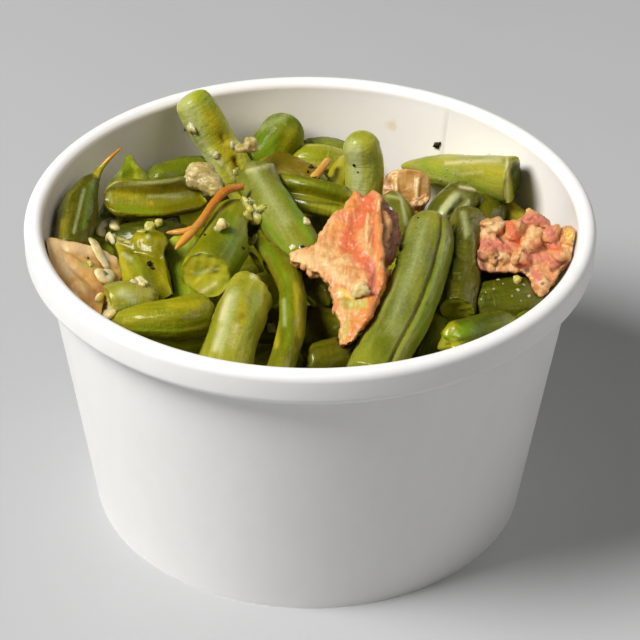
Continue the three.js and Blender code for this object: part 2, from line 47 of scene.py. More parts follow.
# strokes and outlines are drawn in the camera's own view, 640 pixels square; pixels and middle belong to it
viewer = dict(
    lens=135, place=(1.8, -344, 266.4), pitch=34.19, roll=0.67, nearest=0.01, pixels=2400, middle=320,
)
floorLook = dict(half=1600, colour=(0.455, 0.464, 0.472), spread=0.03, roughness=0.62)
lamps = {
    "window": dict(place=(-0.71, -0.27, 0.95), size=0.55, power=19.8, colour=(1, 0.985, 0.965)),
    "sideFill": dict(place=(0.85, 0, 0.88), size=1, power=2.7, colour=(1, 0.985, 0.96)),
    "frontFill": dict(place=(0.66, -0.62, 0.8), size=0.8, power=1.1, colour=(1, 0.985, 0.96)),
    "backFill": dict(place=(0.73, 0.73, 0.63), size=0.8, power=1.3, colour=(1, 0.98, 0.95)),
}
lampsAimAt = (0, 0, 0.03)
roomLight = dict(colour=(1, 0.985, 0.97), strength=0.01)


def link(name, data):
    made = bpy.data.objects.new(name, data)
    bpy.context.collection.objects.link(made)
    return made


def makeCamera():
    data = bpy.data.cameras.new("viewer")
    data.lens = viewer["lens"]
    data.clip_start = viewer["nearest"]
    camera = link("viewer", data)
    camera.location = Vector(viewer["place"]) * mm
    tilt = Euler((math.radians(90 - viewer["pitch"]), 0, 0)).to_matrix()
    turn = tilt @ Matrix.Rotation(math.radians(viewer["roll"]), 3, "Z")
    camera.rotation_euler = turn.to_euler()
    bpy.context.scene.camera = camera
    return np.array(turn)


def makeLamp(name, place, size, power, colour):
    data = bpy.data.lights.new(name, "AREA")
    data.shape = "DISK"
    data.size = size
    data.energy = power
    data.color = colour
    lamp = link(name, data)
    lamp.location = place
    lamp.rotation_euler = (Vector(lampsAimAt) - lamp.location).to_track_quat("-Z", "Y").to_euler()


def lightRoom():
    world = bpy.data.worlds.new("room")
    world.use_nodes = True
    back = world.node_tree.nodes["Background"]
    back.inputs["Color"].default_value = (*roomLight["colour"], 1)
    back.inputs["Strength"].default_value = roomLight["strength"]
    bpy.context.scene.world = world


seeing = makeCamera()
for name, lamp in lamps.items():
    makeLamp(name, **lamp)
lightRoom()
bpy.context.scene.view_settings.view_transform = "Standard"


class Value:
    # a socket of a material's node tree that can stand in a sum
    def __init__(self, paint, socket):
        self.paint = paint
        self.socket = socket

    def sum(self, operation, first, second):
        return self.paint.node("ShaderNodeMath", {"operation": operation}, {0: first, 1: second})

    def __add__(self, other):
        return self.sum("ADD", self, other)

    def __mul__(self, other):
        return self.sum("MULTIPLY", self, other)

    def __sub__(self, other):
        return self.sum("SUBTRACT", self, other)

    def __rsub__(self, other):
        return self.sum("SUBTRACT", other, self)

    __radd__ = __add__
    __rmul__ = __mul__


class Paint:
    # one material, built up in nodes
    def __init__(self, name):
        self.material = bpy.data.materials.new(name)
        self.material.use_nodes = True
        self.tree = self.material.node_tree
        self.shader = self.tree.nodes["Principled BSDF"]

    def plug(self, socket, value):
        if isinstance(value, Value):
            self.tree.links.new(value.socket, socket)
        elif socket.type == "RGBA" and len(value) == 3:
            socket.default_value = (*value, 1)
        else:
            socket.default_value = value

    def node(self, kind, settings=None, values=None, output=0):
        made = self.tree.nodes.new(kind)
        for key, setting in (settings or {}).items():
            setattr(made, key, setting)
        for key, value in (values or {}).items():
            self.plug(made.inputs[key], value)
        return Value(self, made.outputs[output])

    def surface(self, **values):
        for key, value in values.items():
            self.plug(self.shader.inputs[key.replace("_", " ")], value)
        return self.material

    def space(self, stretch=(1, 1, 1)):
        # millimetres across the whole object
        spot = self.node("ShaderNodeTexCoord", output=3)
        return self.node("ShaderNodeMapping", {}, {"Vector": spot, "Scale": [s / mm for s in stretch]})

    def alongSkin(self, stretch=(1, 1, 1)):
        # millimetres along one piece, and across its section
        spot = self.node("ShaderNodeAttribute", {"attribute_name": "skinPlace"}, output=1)
        return self.node("ShaderNodeMapping", {}, {"Vector": spot, "Scale": stretch})

    def amount(self, name):
        return self.node("ShaderNodeAttribute", {"attribute_name": name}, output=2)

    def noise(self, where, scale, detail=3.0, roughness=0.55, distortion=0.0):
        values = {"Vector": where, "Scale": scale, "Detail": detail, "Roughness": roughness}
        return self.node("ShaderNodeTexNoise", {}, {**values, "Distortion": distortion})

    def between(self, value, low, high, least=0.0, most=1.0):
        limits = {"Value": value, "From Min": low, "From Max": high, "To Min": least, "To Max": most}
        return self.node("ShaderNodeMapRange", {"interpolation_type": "SMOOTHSTEP"}, limits)

    def mix(self, factor, first, second):
        return self.node("ShaderNodeMix", {"data_type": "RGBA"}, {0: factor, 6: first, 7: second}, output=2)

    def over(self, tone, value, low, high, share, colour):
        # a colour laid over the rest where a value runs from low to high
        return self.mix(self.between(value, low, high) * share, tone, colour)

    def drawn(self, tone, kinds, tones, ragged, low, high, share):
        # strokes of several tones laid over the rest, with ragged edges
        for kind in kinds:
            tone = self.over(tone, self.amount(kind) + ragged, low, high, share, tones[kind])
        return tone

    def bump(self, height, distance, onto=None):
        values = {"Height": height, "Distance": distance * mm}
        return self.node("ShaderNodeBump", {}, {**values, "Normal": onto} if onto else values)


def cloud(places, scale=1.0, seed=0.0, octaves=2):
    # soft noise from about -1 to 1 at each place
    spots = (np.asarray(places, float) * scale + seed * 7.31).reshape(-1, 3).tolist()
    return np.array([noise.fractal(spot, 1.0, 2.0, octaves) for spot in spots]).reshape(places.shape[:-1])


def makeMesh(name, places, faces, material):
    mesh = bpy.data.meshes.new(name)
    mesh.from_pydata((np.asarray(places).reshape(-1, 3) * mm).tolist(), [], [list(face) for face in faces])
    mesh.materials.append(material)
    return mesh


def makePiece(name, places, faces, material, marks=None):
    mesh = makeMesh(name, places, faces, material)
    mesh.polygons.foreach_set("use_smooth", [True] * len(mesh.polygons))
    for key, values in (marks or {}).items():
        kind, field = ("FLOAT_VECTOR", "vector") if key == "skinPlace" else ("FLOAT", "value")
        mesh.attributes.new(key, kind, "POINT").data.foreach_set(field, np.asarray(values, float).ravel())
    mesh.update()
    piece = link(name, mesh)
    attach(piece, "root")
    return piece


def pieceName(node):
    first, *rest = node.split("_")
    return first + "".join(word.capitalize() for word in rest)


def layFloor():
    paint = Paint("paleFloor")
    place = paint.space()
    dark, light = [[c * (1 + way * floorLook["spread"]) for c in floorLook["colour"]] for way in (-1, 1)]
    material = paint.surface(
        Base_Color=paint.mix(paint.noise(place, 0.02, 4), dark, light), Roughness=floorLook["roughness"],
        Normal=paint.bump(paint.noise(place, 0.6), 0.02),
    )
    half = floorLook["half"]
    corners = [(-half, -half, 0), (half, -half, 0), (half, half, 0), (-half, half, 0)]
    link("floor", makeMesh("floor", corners, [range(4)], material))


layFloor()

print("paper cup")

# the lip is a flattened roll of paper; the two laps of the sidewall leave a low step down the seam
cup = dict(
    rimDiameter=96, baseDiameter=76, height=55, wallDiameterUnderRim=89.8, paper=0.7, rimWidth=3.4,
    rimDepth=6, rimCorner=1.5, lipInset=0.25, curlGap=0.35, foldSlot=1, skirt=0.6, recess=6, clearance=0.3,
    slide=0.2, discCentre=0.4, discFlat=6, columns=192, sharpFrom=40,
)
seam = dict(
    azimuth=56.7, lap=9, ease=14, step=0.34, edge=0.25, insideShare=0.4, lipFrom=0.2, lipShare=0.5,
    topFrom=4.2, topShare=0.35,
)
# the grease layer, which also carries painted warm shade on the left inner wall, thins out towards the lip
# and across the cup towards the lit right side
film = dict(top=60, depth=11, thin=0.3, share=0.42, reach=70, least=0.12)
paperTones = dict(
    dark=(0.868, 0.86, 0.846), light=(0.885, 0.878, 0.866), inside=(0.985, 0.957, 0.94),
    film=(1, 0.865, 0.75),
)
stains = [
    dict(at=(14.5, 41.4, 48), size=1.5, strength=0.35, colour=(0.75, 0.5, 0.12)),
    dict(at=(31.9, 29.9, 48), size=1.1, strength=0.6, colour=(0.6, 0.5, 0.08)),
]
underRim = cup["height"] - cup["rimDepth"]
wallSlope = (cup["wallDiameterUnderRim"] - cup["baseDiameter"]) / 2 / underRim


def outerWall(z):
    return cup["baseDiameter"] / 2 + wallSlope * z


def innerWall(z):
    return outerWall(z) - cup["paper"]


def arc(centreR, centreZ, radius, start, end, steps=9):
    turns = np.radians(np.linspace(start, end, steps))
    return [(centreR + radius * math.cos(turn), centreZ + radius * math.sin(turn)) for turn in turns]


def straight(start, end, step=2.5):
    count = max(1, round(math.dist(start, end) / step))
    return [*map(tuple, np.linspace(start, end, count + 1))]


def sidewallOutline():
    # up the outside, round the lip and down the inside to the folded foot
    rim = cup["rimDiameter"] / 2
    corner = cup["rimCorner"]
    paper = cup["paper"]
    top = cup["height"] - corner
    low = underRim + corner
    curl = cup["curlGap"]
    foldTop = cup["recess"] - cup["clearance"]
    foldOuter = innerWall(cup["recess"]) - cup["foldSlot"]
    return [
        *straight((outerWall(0), 0), (outerWall(top), top)),
        *arc(rim - corner, top, corner - paper, 90, 0), *arc(rim - corner, low, corner - paper, 0, -90),
        (outerWall(low) + curl, underRim + paper), (outerWall(underRim) + curl, underRim),
        *arc(rim - corner, low, corner, -90, 0), *arc(rim - corner, top, corner, 0, 90, 13),
        *arc(rim - cup["rimWidth"] + corner + cup["lipInset"], top, corner, 90, 180, 13),
        *straight((innerWall(top) - 0.05, top - 1), (innerWall(paper), paper)),
        (innerWall(paper) - cup["foldSlot"], paper), (foldOuter, foldTop),
        (foldOuter - paper, foldTop), (innerWall(0) - cup["foldSlot"] - paper, 0),
    ]


def bottomOutline():
    # under the disc, down and up the skirt, and back over the disc
    recess = cup["recess"]
    skirt = cup["skirt"]
    foot = cup["paper"] + cup["clearance"]
    top = recess + skirt
    slide = cup["slide"]
    centre = cup["discCentre"]
    flat = cup["discFlat"]
    return [
        (centre, recess), *straight((flat, recess), (innerWall(recess) - slide - skirt, recess), 5),
        (innerWall(foot) - slide - skirt, foot), (innerWall(foot) - slide, foot),
        (innerWall(top) - slide, top), *straight((innerWall(top) - slide - 2, top), (flat, top), 5)[:-1],
        (centre, top),
    ]


def lapOffset(azimuth, inside):
    # the inner ply starts with an edge at the seam, the outer ply ends with one a lap further round
    turn = (azimuth - seam["azimuth"] + 180) % 360 - 180
    past = turn - seam["lap"]
    ease = np.clip(1 - past / seam["ease"], 0, 1)
    return -seam["step"] * np.where((turn if inside else past) > 0, ease * ease * (3 - 2 * ease), 0)


def turnedMesh(outline, laps):
    first, last = seam["azimuth"], seam["azimuth"] + seam["lap"]
    edges = [first, first + seam["edge"], last, last + seam["edge"]] if laps else []
    around = np.array(sorted([*np.arange(cup["columns"]) * 360 / cup["columns"], *edges]))[:, None]
    radius, height = np.array(outline).T[:, None]
    offset = 0 * around
    if laps:
        inner = radius < outerWall(height) - cup["paper"] / 2
        share = np.where(radius > outerWall(height) + seam["lipFrom"], seam["lipShare"], 1)
        share = np.where(height > underRim + seam["topFrom"], seam["topShare"], share)
        within, without = lapOffset(around, True) * seam["insideShare"], lapOffset(around, False)
        offset = np.where(inner, within, without) * share
    turns = np.radians(around)
    reach = radius + offset
    grid = np.stack([reach * np.cos(turns), reach * np.sin(turns), height + 0 * turns], -1)
    columns, count = grid.shape[:2]
    faces = [
        (c * count + k, d * count + k, d * count + (k + 1) % count, c * count + (k + 1) % count)
        for c, d in zip(range(columns), [*range(1, columns), 0]) for k in range(count)
    ]
    return grid, faces


def paintPaper():
    paint = Paint("cupPaper")
    place = paint.space()
    pulp = paint.noise(paint.space((0.6, 0.6, 0.25)), 0.5, 4, 0.5)
    fibre = paint.noise(place, 3.2, 4, 0.7)
    inside = paint.amount("inside")
    greasyShade = paint.amount("film") * paint.between(paint.noise(place, 0.09, 4, 0.6, 0.6), 0.3, 0.7, 0.4, 1)
    tone = paint.mix(paint.between(pulp, 0.3, 0.7), paperTones["dark"], paperTones["light"])
    tone = paint.mix(inside, tone, paperTones["inside"])
    # a grease layer near the food line, heaviest on the left inner wall where it is painted warm shade
    tone = paint.mix(greasyShade, tone, paperTones["film"])
    for stain in stains:
        size = stain["size"]
        apart = paint.node("ShaderNodeVectorMath", {"operation": "DISTANCE"}, {0: place, 1: stain["at"]}, 1)
        ragged = apart + (paint.noise(place, 1.1, 2) - 0.5) * size
        tone = paint.over(tone, ragged, size, 0.35 * size, stain["strength"], stain["colour"])
    return paint.surface(
        Base_Color=tone, Roughness=paint.between(pulp, 0.2, 0.8, 0.42, 0.56), Coat_Weight=inside * 0.9 + 0.08,
        Coat_Roughness=0.25, Normal=paint.bump(pulp * 0.6 + fibre * 0.4, 0.03),
    )


vessel = []


def makeCup():
    material = paintPaper()
    grid, faces = turnedMesh(sidewallOutline(), True)
    vessel.append(Pressed(grid, faces))
    height = grid[..., 2]
    reach = np.hypot(grid[..., 0], grid[..., 1])
    inside = 1.0 * (reach < outerWall(height) - cup["paper"] / 2) * (height > cup["recess"] + 1)
    # painted warm shade as well as grease: strongest low down and on the left inner wall
    greasyShade = inside * np.clip((film["top"] - height) / film["depth"], film["thin"], 1)
    greasyShade *= np.clip(film["share"] - grid[..., 0] / film["reach"], film["least"], 1)
    wall = makePiece("cupWall", grid, faces, material, {"inside": inside, "film": greasyShade})
    wall.data.set_sharp_from_angle(angle=math.radians(cup["sharpFrom"]))
    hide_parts("cup_sidewall")
    grid, faces = turnedMesh(bottomOutline(), False)
    columns, count = grid.shape[:2]
    low = [c * count for c in range(columns)][::-1]
    high = [c * count + count - 1 for c in range(columns)]
    faces = [face for face in faces if face[0] % count != count - 1] + [low, high]
    none = 0 * grid[..., 2]
    bottom = makePiece("cupBottom", grid, faces, material, {"inside": none, "film": none})
    bottom.data.set_sharp_from_angle(angle=math.radians(cup["sharpFrom"]))
    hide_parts("cup_bottom")


class Pressed:
    # a finished piece that presses into whatever lies under it
    def __init__(self, places, faces):
        flat = np.asarray(places).reshape(-1, 3)
        self.low, self.high = flat.min(0), flat.max(0)
        self.tree = BVHTree.FromPolygons(flat.tolist(), faces)

    def depth(self, spot):
        hit, normal, _, _ = self.tree.find_nearest(spot)
        return (hit - spot).dot(normal)

    def near(self, places, gap):
        # which places lie within its box, or close to it
        return ((places > self.low - gap) & (places < self.high + gap)).all(-1)


makeCup()

print("shapes of the food")

# ring and sides are the mesh of a bean; gap is kept where one piece presses on another. A pressed place is
# drawn in to its least share of the way out, or to the squashed share where even the middle is covered
sheet = dict(ring=0.36, sides=64, gap=0.12, squashed=0.3, least=0.1, step=0.4, mostSunk=6, brim=2)
toViewer = (0, -0.6, 0.8)
eye = np.array(viewer["place"])


def inView(places):
    # where the camera sees each place: across, down
    local = (np.asarray(places) - eye) @ seeing * (1, -1, -1)
    return viewer["middle"] + viewer["pixels"] * local[..., :2] / local[..., 2:]


def sightLine(spot):
    across, down = (np.array(spot) - viewer["middle"]) / viewer["pixels"]
    return seeing @ np.array([across, -down, -1])


def onPlane(spot, point, normal):
    ray = sightLine(spot)
    return eye + ray * np.dot(np.array(point) - eye, normal) / np.dot(ray, normal)


def stroke(seen, start, end, size, strength=1, rise=0):
    # how much one stroke tints and raises each seen place
    start = np.array(start, float)
    span = end - start
    share = np.clip(((seen - start) @ span) / max(span @ span, 1e-6), 0, 1)
    apart = np.linalg.norm(seen - start - share[..., None] * span, axis=-1)
    near = np.exp(-((apart / size) ** 2))
    return strength * near, rise * near


def strokes(places, marks, tones):
    # the strength of each tone at each place, and how far all the strokes raise it
    seen = inView(places)
    found = {tone: np.zeros(seen.shape[:-1]) for tone in tones}
    rise = np.zeros(seen.shape[:-1])
    for tone, lines in marks.items():
        for line in lines:
            tint, lift = stroke(seen, *line)
            rise += lift
            if tone in found:
                found[tone] = np.maximum(found[tone], tint)
    return found, rise


def unit(vectors):
    vectors = np.asarray(vectors, float)
    return vectors / np.maximum(np.linalg.norm(vectors, axis=-1, keepdims=True), 1e-9)


class Line:
    # a smooth line through a few points, measured along its length
    def __init__(self, points):
        points = np.array(points, float)
        ends = np.vstack([2 * points[0] - points[1], points, 2 * points[-1] - points[-2]])
        places = [points[:1]]
        for a, b, c, d in zip(ends[:-3], ends[1:-2], ends[2:-1], ends[3:]):
            before, between, after = [math.sqrt(np.linalg.norm(gap)) for gap in (b - a, c - b, d - c)]
            leave = ((b - a) / before - (c - a) / (before + between)) * between + c - b
            arrive = ((d - c) / after - (d - b) / (between + after)) * between + c - b
            share = np.linspace(0, 1, 41)[1:, None]
            cubic = 2 * (b - c) + leave + arrive
            square = 3 * (c - b) - 2 * leave - arrive
            places.append(b + leave * share + square * share**2 + cubic * share**3)
        self.places = np.vstack(places)
        steps = np.linalg.norm(np.diff(self.places, axis=0), axis=1)
        self.marks = np.concatenate([[0], np.cumsum(steps)])
        self.length = self.marks[-1]

    def spot(self, distances):
        return np.stack([np.interp(distances, self.marks, row) for row in self.places.T], -1)

    def at(self, distances):
        inside = np.clip(distances, 0, self.length)
        along = unit(self.spot(inside + 0.2) - self.spot(inside - 0.2))
        return self.spot(inside) + along * (distances - inside)[:, None], along


# each end gives the depth of its rings, their size, and how much of them is cut flesh
def roundEnd(half):
    turns = np.linspace(0.06, math.pi / 2, max(6, round(half * 1.57 / sheet["ring"])))
    return -np.cos(turns) * half, np.sin(turns), 0 * turns


def cutEnd(half, hollow):
    # across the cut face from its middle, then over the lip on to the skin
    share = np.linspace(0.05, 0.86, max(6, round(half * 0.8 / sheet["ring"])))
    sunk = hollow * half * np.clip(1 - (share / 0.62) ** 2, 0, 1) ** 0.7 + 0.05 * half * (1 - share)
    depth = np.concatenate([sunk, np.array([-0.01, 0, 0.03, 0.09]) * half])
    scale = 0.97 * np.concatenate([share, [0.91, 0.955, 0.985, 1]])
    return depth, scale, np.concatenate([0 * share + 1, [0.9, 0.55, 0.15, 0]])


def snappedEnd(half):
    share = np.linspace(0.06, 0.9, max(5, round(half * 0.7 / sheet["ring"])))
    out = np.linspace(0, 1, 6)
    depth = half * np.concatenate([0.12 * (1 - share) ** 2, 0.5 * out])
    scale = np.concatenate([share * 0.74, 0.74 + 0.26 * np.sin(out * math.pi / 2)])
    return depth, scale, np.concatenate([0 * share + 1, np.clip(0.8 - 2.5 * out, 0, 1)])


def tipEnd(half):
    reach = np.linspace(-0.12, 3.2, max(8, round(3.2 * half / sheet["ring"])))
    scale = np.interp(reach, [-0.12, 0, 0.3, 0.9, 2, 3.2], [0.03, 0.18, 0.33, 0.55, 0.84, 1])
    return reach * half, scale, 0 * reach


endShapes = {"round": roundEnd, "snapped": snappedEnd, "tip": tipEnd}


def stations(bean, length):
    half = bean["width"] / 2
    if "scales" in bean:
        along = np.linspace(0, 1, round(length / sheet["ring"]))
        return along * length, np.interp(along, *np.transpose(bean["scales"])), 0 * along
    head, tail = [
        cutEnd(half, bean["hollow"]) if kind == "cut" else endShapes[kind](half)
        for kind in (bean["start"], bean["end"])
    ]
    first, last = head[0][-1], length - tail[0][-1]
    count = max(2, round((last - first) / bean["ring"]))
    middle = np.linspace(first, last, count + 1)[1:-1]
    return (
        np.concatenate([head[0], middle, (length - tail[0])[::-1]]),
        np.concatenate([head[1], 0 * middle + 1, tail[1][::-1]]),
        np.concatenate([head[2], 0 * middle, tail[2][::-1]]),
    )


def roundedOutline(corners, count):
    # an even row of places round a closed outline with softened corners
    loop = np.array([*corners, corners[0]], float)
    marks = np.concatenate([[0], np.cumsum(np.linalg.norm(np.diff(loop, axis=0), axis=1))])
    spots = np.linspace(0, marks[-1], count, endpoint=False)
    places = np.stack([np.interp(spots, marks, row) for row in loop.T], -1)
    for _ in range(4):
        places = (np.roll(places, 1, 0) + 2 * places + np.roll(places, -1, 0)) / 4
    return places


# what a bean has unless it says otherwise: seeds swell it, slack lets it sag, the rest roughens it
usual = dict(
    start="round", end="round", hollow=0.34, facing=(0, 0, 1), taper=1, ring=sheet["ring"],
    sides=sheet["sides"], seeds=0.035, seedPitch=9.5, slack=0.09, crease=0.09, pebble=0.05, startSlant=0,
    startLean=0, endSlant=0, endLean=0,
)


class Grid:
    # rings of places along a line: the skin of one bean, with what is known about each place on it
    def __init__(self, bean, seed):
        self.bean = bean = {**usual, **bean}
        self.seed = seed
        line = Line(bean["spine"])
        self.length = line.length
        self.distance, self.scale, self.face = stations(bean, line.length)
        self.centre, self.along = line.at(self.distance)
        across = unit(np.cross(np.broadcast_to(unit(bean["facing"]), self.along.shape), self.along))
        upward = np.cross(self.along, across)
        taper = 1 + (bean["taper"] - 1) * np.clip(self.distance / line.length, 0, 1)
        section = np.array([bean["width"], bean["thickness"]]) / 2 * self.section()
        spots = section[None] * (self.scale * taper)[:, None, None]
        self.far = np.broadcast_to(self.distance[:, None, None], spots.shape[:2] + (1,))
        self.swell(spots)
        self.places = self.centre[:, None] + spots[..., :1] * across[:, None]
        self.places = self.places + spots[..., 1:] * upward[:, None]
        self.tearEnds(spots)
        self.skinPlace = np.concatenate([self.far + 40 * seed, spots], -1)

    def section(self):
        bean = self.bean
        if "outline" in bean:
            corners = roundedOutline(bean["outline"], bean["sides"])
            self.inner = np.clip(0.55 - np.hypot(*corners.T), 0, 0.25) * 4 * (corners[:, 1] > 0)
            self.rim = 0 * self.inner
            return corners
        turns = np.linspace(0, 2 * math.pi, bean["sides"], endpoint=False)
        self.inner = 0 * turns
        aside = [(turns - side + math.pi) % (2 * math.pi) - math.pi for side in (0, math.pi)]
        self.rim = sum(np.exp(-((away / 0.13) ** 2)) for away in aside)
        rise = 1 + 0.022 * self.rim
        if "groove" in bean:
            groove = bean["groove"]
            away = (turns - math.radians(groove["turn"])) / groove["width"]
            rise -= groove["depth"] * np.exp(-(away**2))
        return np.stack([np.cos(turns) * rise, np.sin(turns) * rise], -1)

    def swell(self, spots):
        # seeds inside, long wrinkles and a slightly collapsed section
        bean, seed = self.bean, self.seed
        reach = np.linalg.norm(spots, axis=-1, keepdims=True)
        drawn = np.concatenate([self.far, spots], -1)
        seeds = bean["seeds"] * np.sin(2 * math.pi * self.distance / bean["seedPitch"] + seed * 2.1)
        slack = cloud(drawn * (0.12, 0.32, 0.32), 1, seed) * bean["slack"]
        wrinkle = cloud(drawn * (0.22, 1.1, 1.1), 1, seed + 3, 3)
        crease = np.exp(-((wrinkle / 0.1) ** 2)) * bean["crease"]
        pebble = cloud(drawn * (1.3, 1.6, 1.6), 1, seed + 6, 2) * bean["pebble"]
        change = (seeds[:, None] + slack) * bean["width"] * 0.4 - crease + pebble
        change *= np.clip(self.scale * 1.3 - 0.3, 0, 1)[:, None] * (1 - self.face)[:, None]
        limit = 0.35 * reach[..., 0]
        spots += spots / np.maximum(reach, 1e-6) * np.clip(change, -limit, limit)[..., None]

    def tearEnds(self, spots):
        # cut and broken ends are never quite flat
        bean = self.bean
        width = bean["width"]
        for name, side, sense in (("start", 0, 1), ("end", -1, -1)):
            if bean[name] not in ("cut", "snapped") or "scales" in bean:
                continue
            away = np.maximum(self.distance if side == 0 else self.length - self.distance, 0)[:, None]
            drawn = np.concatenate([spots * 0.55, 0 * self.far + 5 * side], -1)
            wave = cloud(drawn, 1, self.seed + 9, 3) * bean.get("tear", 0.35 if bean[name] == "cut" else 1)
            across, upward = bean[name + "Slant"], bean[name + "Lean"]
            slant = across * spots[..., 0] + upward * spots[..., 1]
            reach = (0.25 + 0.7 * math.hypot(across, upward)) * width
            push = wave * np.exp(-((away / (0.22 * width)) ** 2)) + slant * np.exp(-((away / reach) ** 2))
            self.places += sense * push[..., None] * self.along[:, None]

    def faces(self):
        rings, sides = self.places.shape[:2]
        quads = [
            (low + k, low + (k + 1) % sides, low + sides + (k + 1) % sides, low + sides + k)
            for low in range(0, (rings - 1) * sides, sides) for k in range(sides)
        ]
        return [*quads, range(sides)[::-1], range((rings - 1) * sides, rings * sides)]


def pressIn(places, centre, above):
    # draw each place in towards its own centre until it is clear of everything above
    gap = sheet["gap"]
    share = np.ones(places.shape[:2])
    for upper in above:
        cores = {}
        for ring, side in np.argwhere(upper.near(places, gap)):
            spot, core = Vector(places[ring, side]), Vector(centre[ring])
            if upper.depth(spot) < -gap:
                continue
            if ring not in cores:
                cores[ring] = upper.depth(core) > 0
            reach = (spot - core).length
            if reach < 1e-4:
                continue
            if cores[ring]:
                share[ring, side] = min(share[ring, side], sheet["squashed"])
                continue
            hit, _, _, distance = upper.tree.ray_cast(core, spot - core, reach + gap)
            if hit:
                room = max(distance - gap, sheet["least"] * reach)
                share[ring, side] = min(share[ring, side], room / reach)
    soft = share
    for _ in range(3):
        wide = np.vstack([soft[:1], soft, soft[-1:]])
        soft = (wide[:-2] + wide[2:] + np.roll(soft, 1, 1) + np.roll(soft, -1, 1) + 2 * soft) / 6
    return centre[:, None] + (places - centre[:, None]) * np.minimum(share, soft)[..., None]


def sinkUnder(places, normal, above):
    # push whatever is inside an upper piece back along the way the sheet faces
    back = -unit(normal) * sheet["step"]
    moved = places.copy()
    for upper in above:
        for k in np.flatnonzero(upper.near(moved, 0.2)):
            gone = 0
            while gone < sheet["mostSunk"] and upper.depth(Vector(moved[k])) > -sheet["gap"]:
                moved[k] += back
                gone += sheet["step"]
    return moved


def keepInCup(places, slack=0.3):
    height = places[..., 2:]
    reach = np.linalg.norm(places[..., :2], axis=-1, keepdims=True)
    room = innerWall(np.minimum(height, cup["height"] - sheet["brim"])) - slack
    floor = cup["recess"] + cup["skirt"] + slack
    across = places[..., :2] * np.minimum(1, room / np.maximum(reach, 1e-6))
    return np.concatenate([across, np.maximum(height, floor)], -1)


stack = []


def standIn(node, places, faces, material, marks=None, name=None, presses=True):
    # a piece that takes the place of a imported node, and presses on what is made after it
    piece = makePiece(name or pieceName(node), places, faces, material, marks)
    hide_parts(node)
    if presses:
        stack.append(Pressed(places, faces))


def chunk(centre, size, seed, block=0.75, bumps=0.22, turn=(0, 0, 0)):
    # a torn crumb: a ball made a little boxy, then pushed in and out
    ball = bmesh.new()
    bmesh.ops.create_icosphere(ball, subdivisions=3, radius=1)
    ball.verts.index_update()
    places = np.array([list(v.co) for v in ball.verts])
    faces = [[v.index for v in f.verts] for f in ball.faces]
    ball.free()
    places = np.sign(places) * np.abs(places) ** block
    places *= 1 + bumps * cloud(places, 1.1, seed, 3)[:, None]
    return (places * size) @ np.array(Euler(turn).to_matrix()).T + np.array(centre), faces


def slab(form):
    # a torn sheet: an outline laid on a plane, and a foot outline deeper down
    normal = unit(form["normal"])
    deeper = np.array(form["point"]) - normal * form["depth"]
    top = [onPlane(spot, form["point"], normal) for spot in form["outline"]]
    foot = [onPlane(spot, deeper, normal) for spot in form.get("foot", form["outline"])]
    count = len(top)
    sides = [(k, (k + 1) % count, count + (k + 1) % count, count + k) for k in range(count)]
    return np.array(top + foot), [range(count)[::-1], range(count, 2 * count), *sides]


def joined(parts):
    # several meshes as one, with what is known about their places
    start, places, faces, marks = 0, [], [], {}
    for partPlaces, partFaces, *known in parts:
        places.append(partPlaces.reshape(-1, 3))
        faces += [[start + k for k in face] for face in partFaces]
        start += len(places[-1])
        for key, values in (known[0] if known else {}).items():
            marks.setdefault(key, []).append(values.reshape(len(places[-1]), -1))
    return np.vstack(places), faces, {key: np.vstack(values) for key, values in marks.items()}


def fuse(parts, voxel, smooth):
    # one closed skin round overlapping closed parts
    places, faces, _ = joined(parts)
    mesh = bpy.data.meshes.new("fusing")
    mesh.from_pydata(places.tolist(), [], faces)
    holder = link("fusing", mesh)
    remesh = holder.modifiers.new("skin", "REMESH")
    remesh.mode = "VOXEL"
    remesh.voxel_size = voxel
    soften = holder.modifiers.new("soften", "SMOOTH")
    soften.factor = 0.6
    soften.iterations = smooth
    done = bpy.data.meshes.new_from_object(holder.evaluated_get(bpy.context.evaluated_depsgraph_get()))
    places, normals = np.empty((2, len(done.vertices) * 3))
    done.vertices.foreach_get("co", places)
    done.vertices.foreach_get("normal", normals)
    faces = [list(f.vertices) for f in done.polygons]
    bpy.data.objects.remove(holder)
    bpy.data.meshes.remove(mesh)
    bpy.data.meshes.remove(done)
    return places.reshape(-1, 3), normals.reshape(-1, 3), faces


def grainOf(places, form):
    # each place measured along the grain, across it and through it
    along = unit(form["along"])
    across = unit(np.cross(form["normal"], along))
    return np.stack([places @ along, places @ across, places @ np.cross(along, across)], -1)


print("ham")

# the first two are the meat itself, the others are laid on in strokes; deep is painted shade, on a facet
# turned from the light, in crevices and cracks and along lower edges
hamTones = dict(
    peach=(0.66, 0.27, 0.085), cream=(0.74, 0.44, 0.16), red=(0.69, 0.15, 0.045), orange=(0.72, 0.24, 0.045),
    pink=(0.66, 0.2, 0.12), pale=(0.8, 0.53, 0.24), yellow=(0.8, 0.5, 0.08), green=(0.5, 0.42, 0.08),
    deep=(0.2, 0.05, 0.02),
)
hamMarks = list(hamTones)[2:]
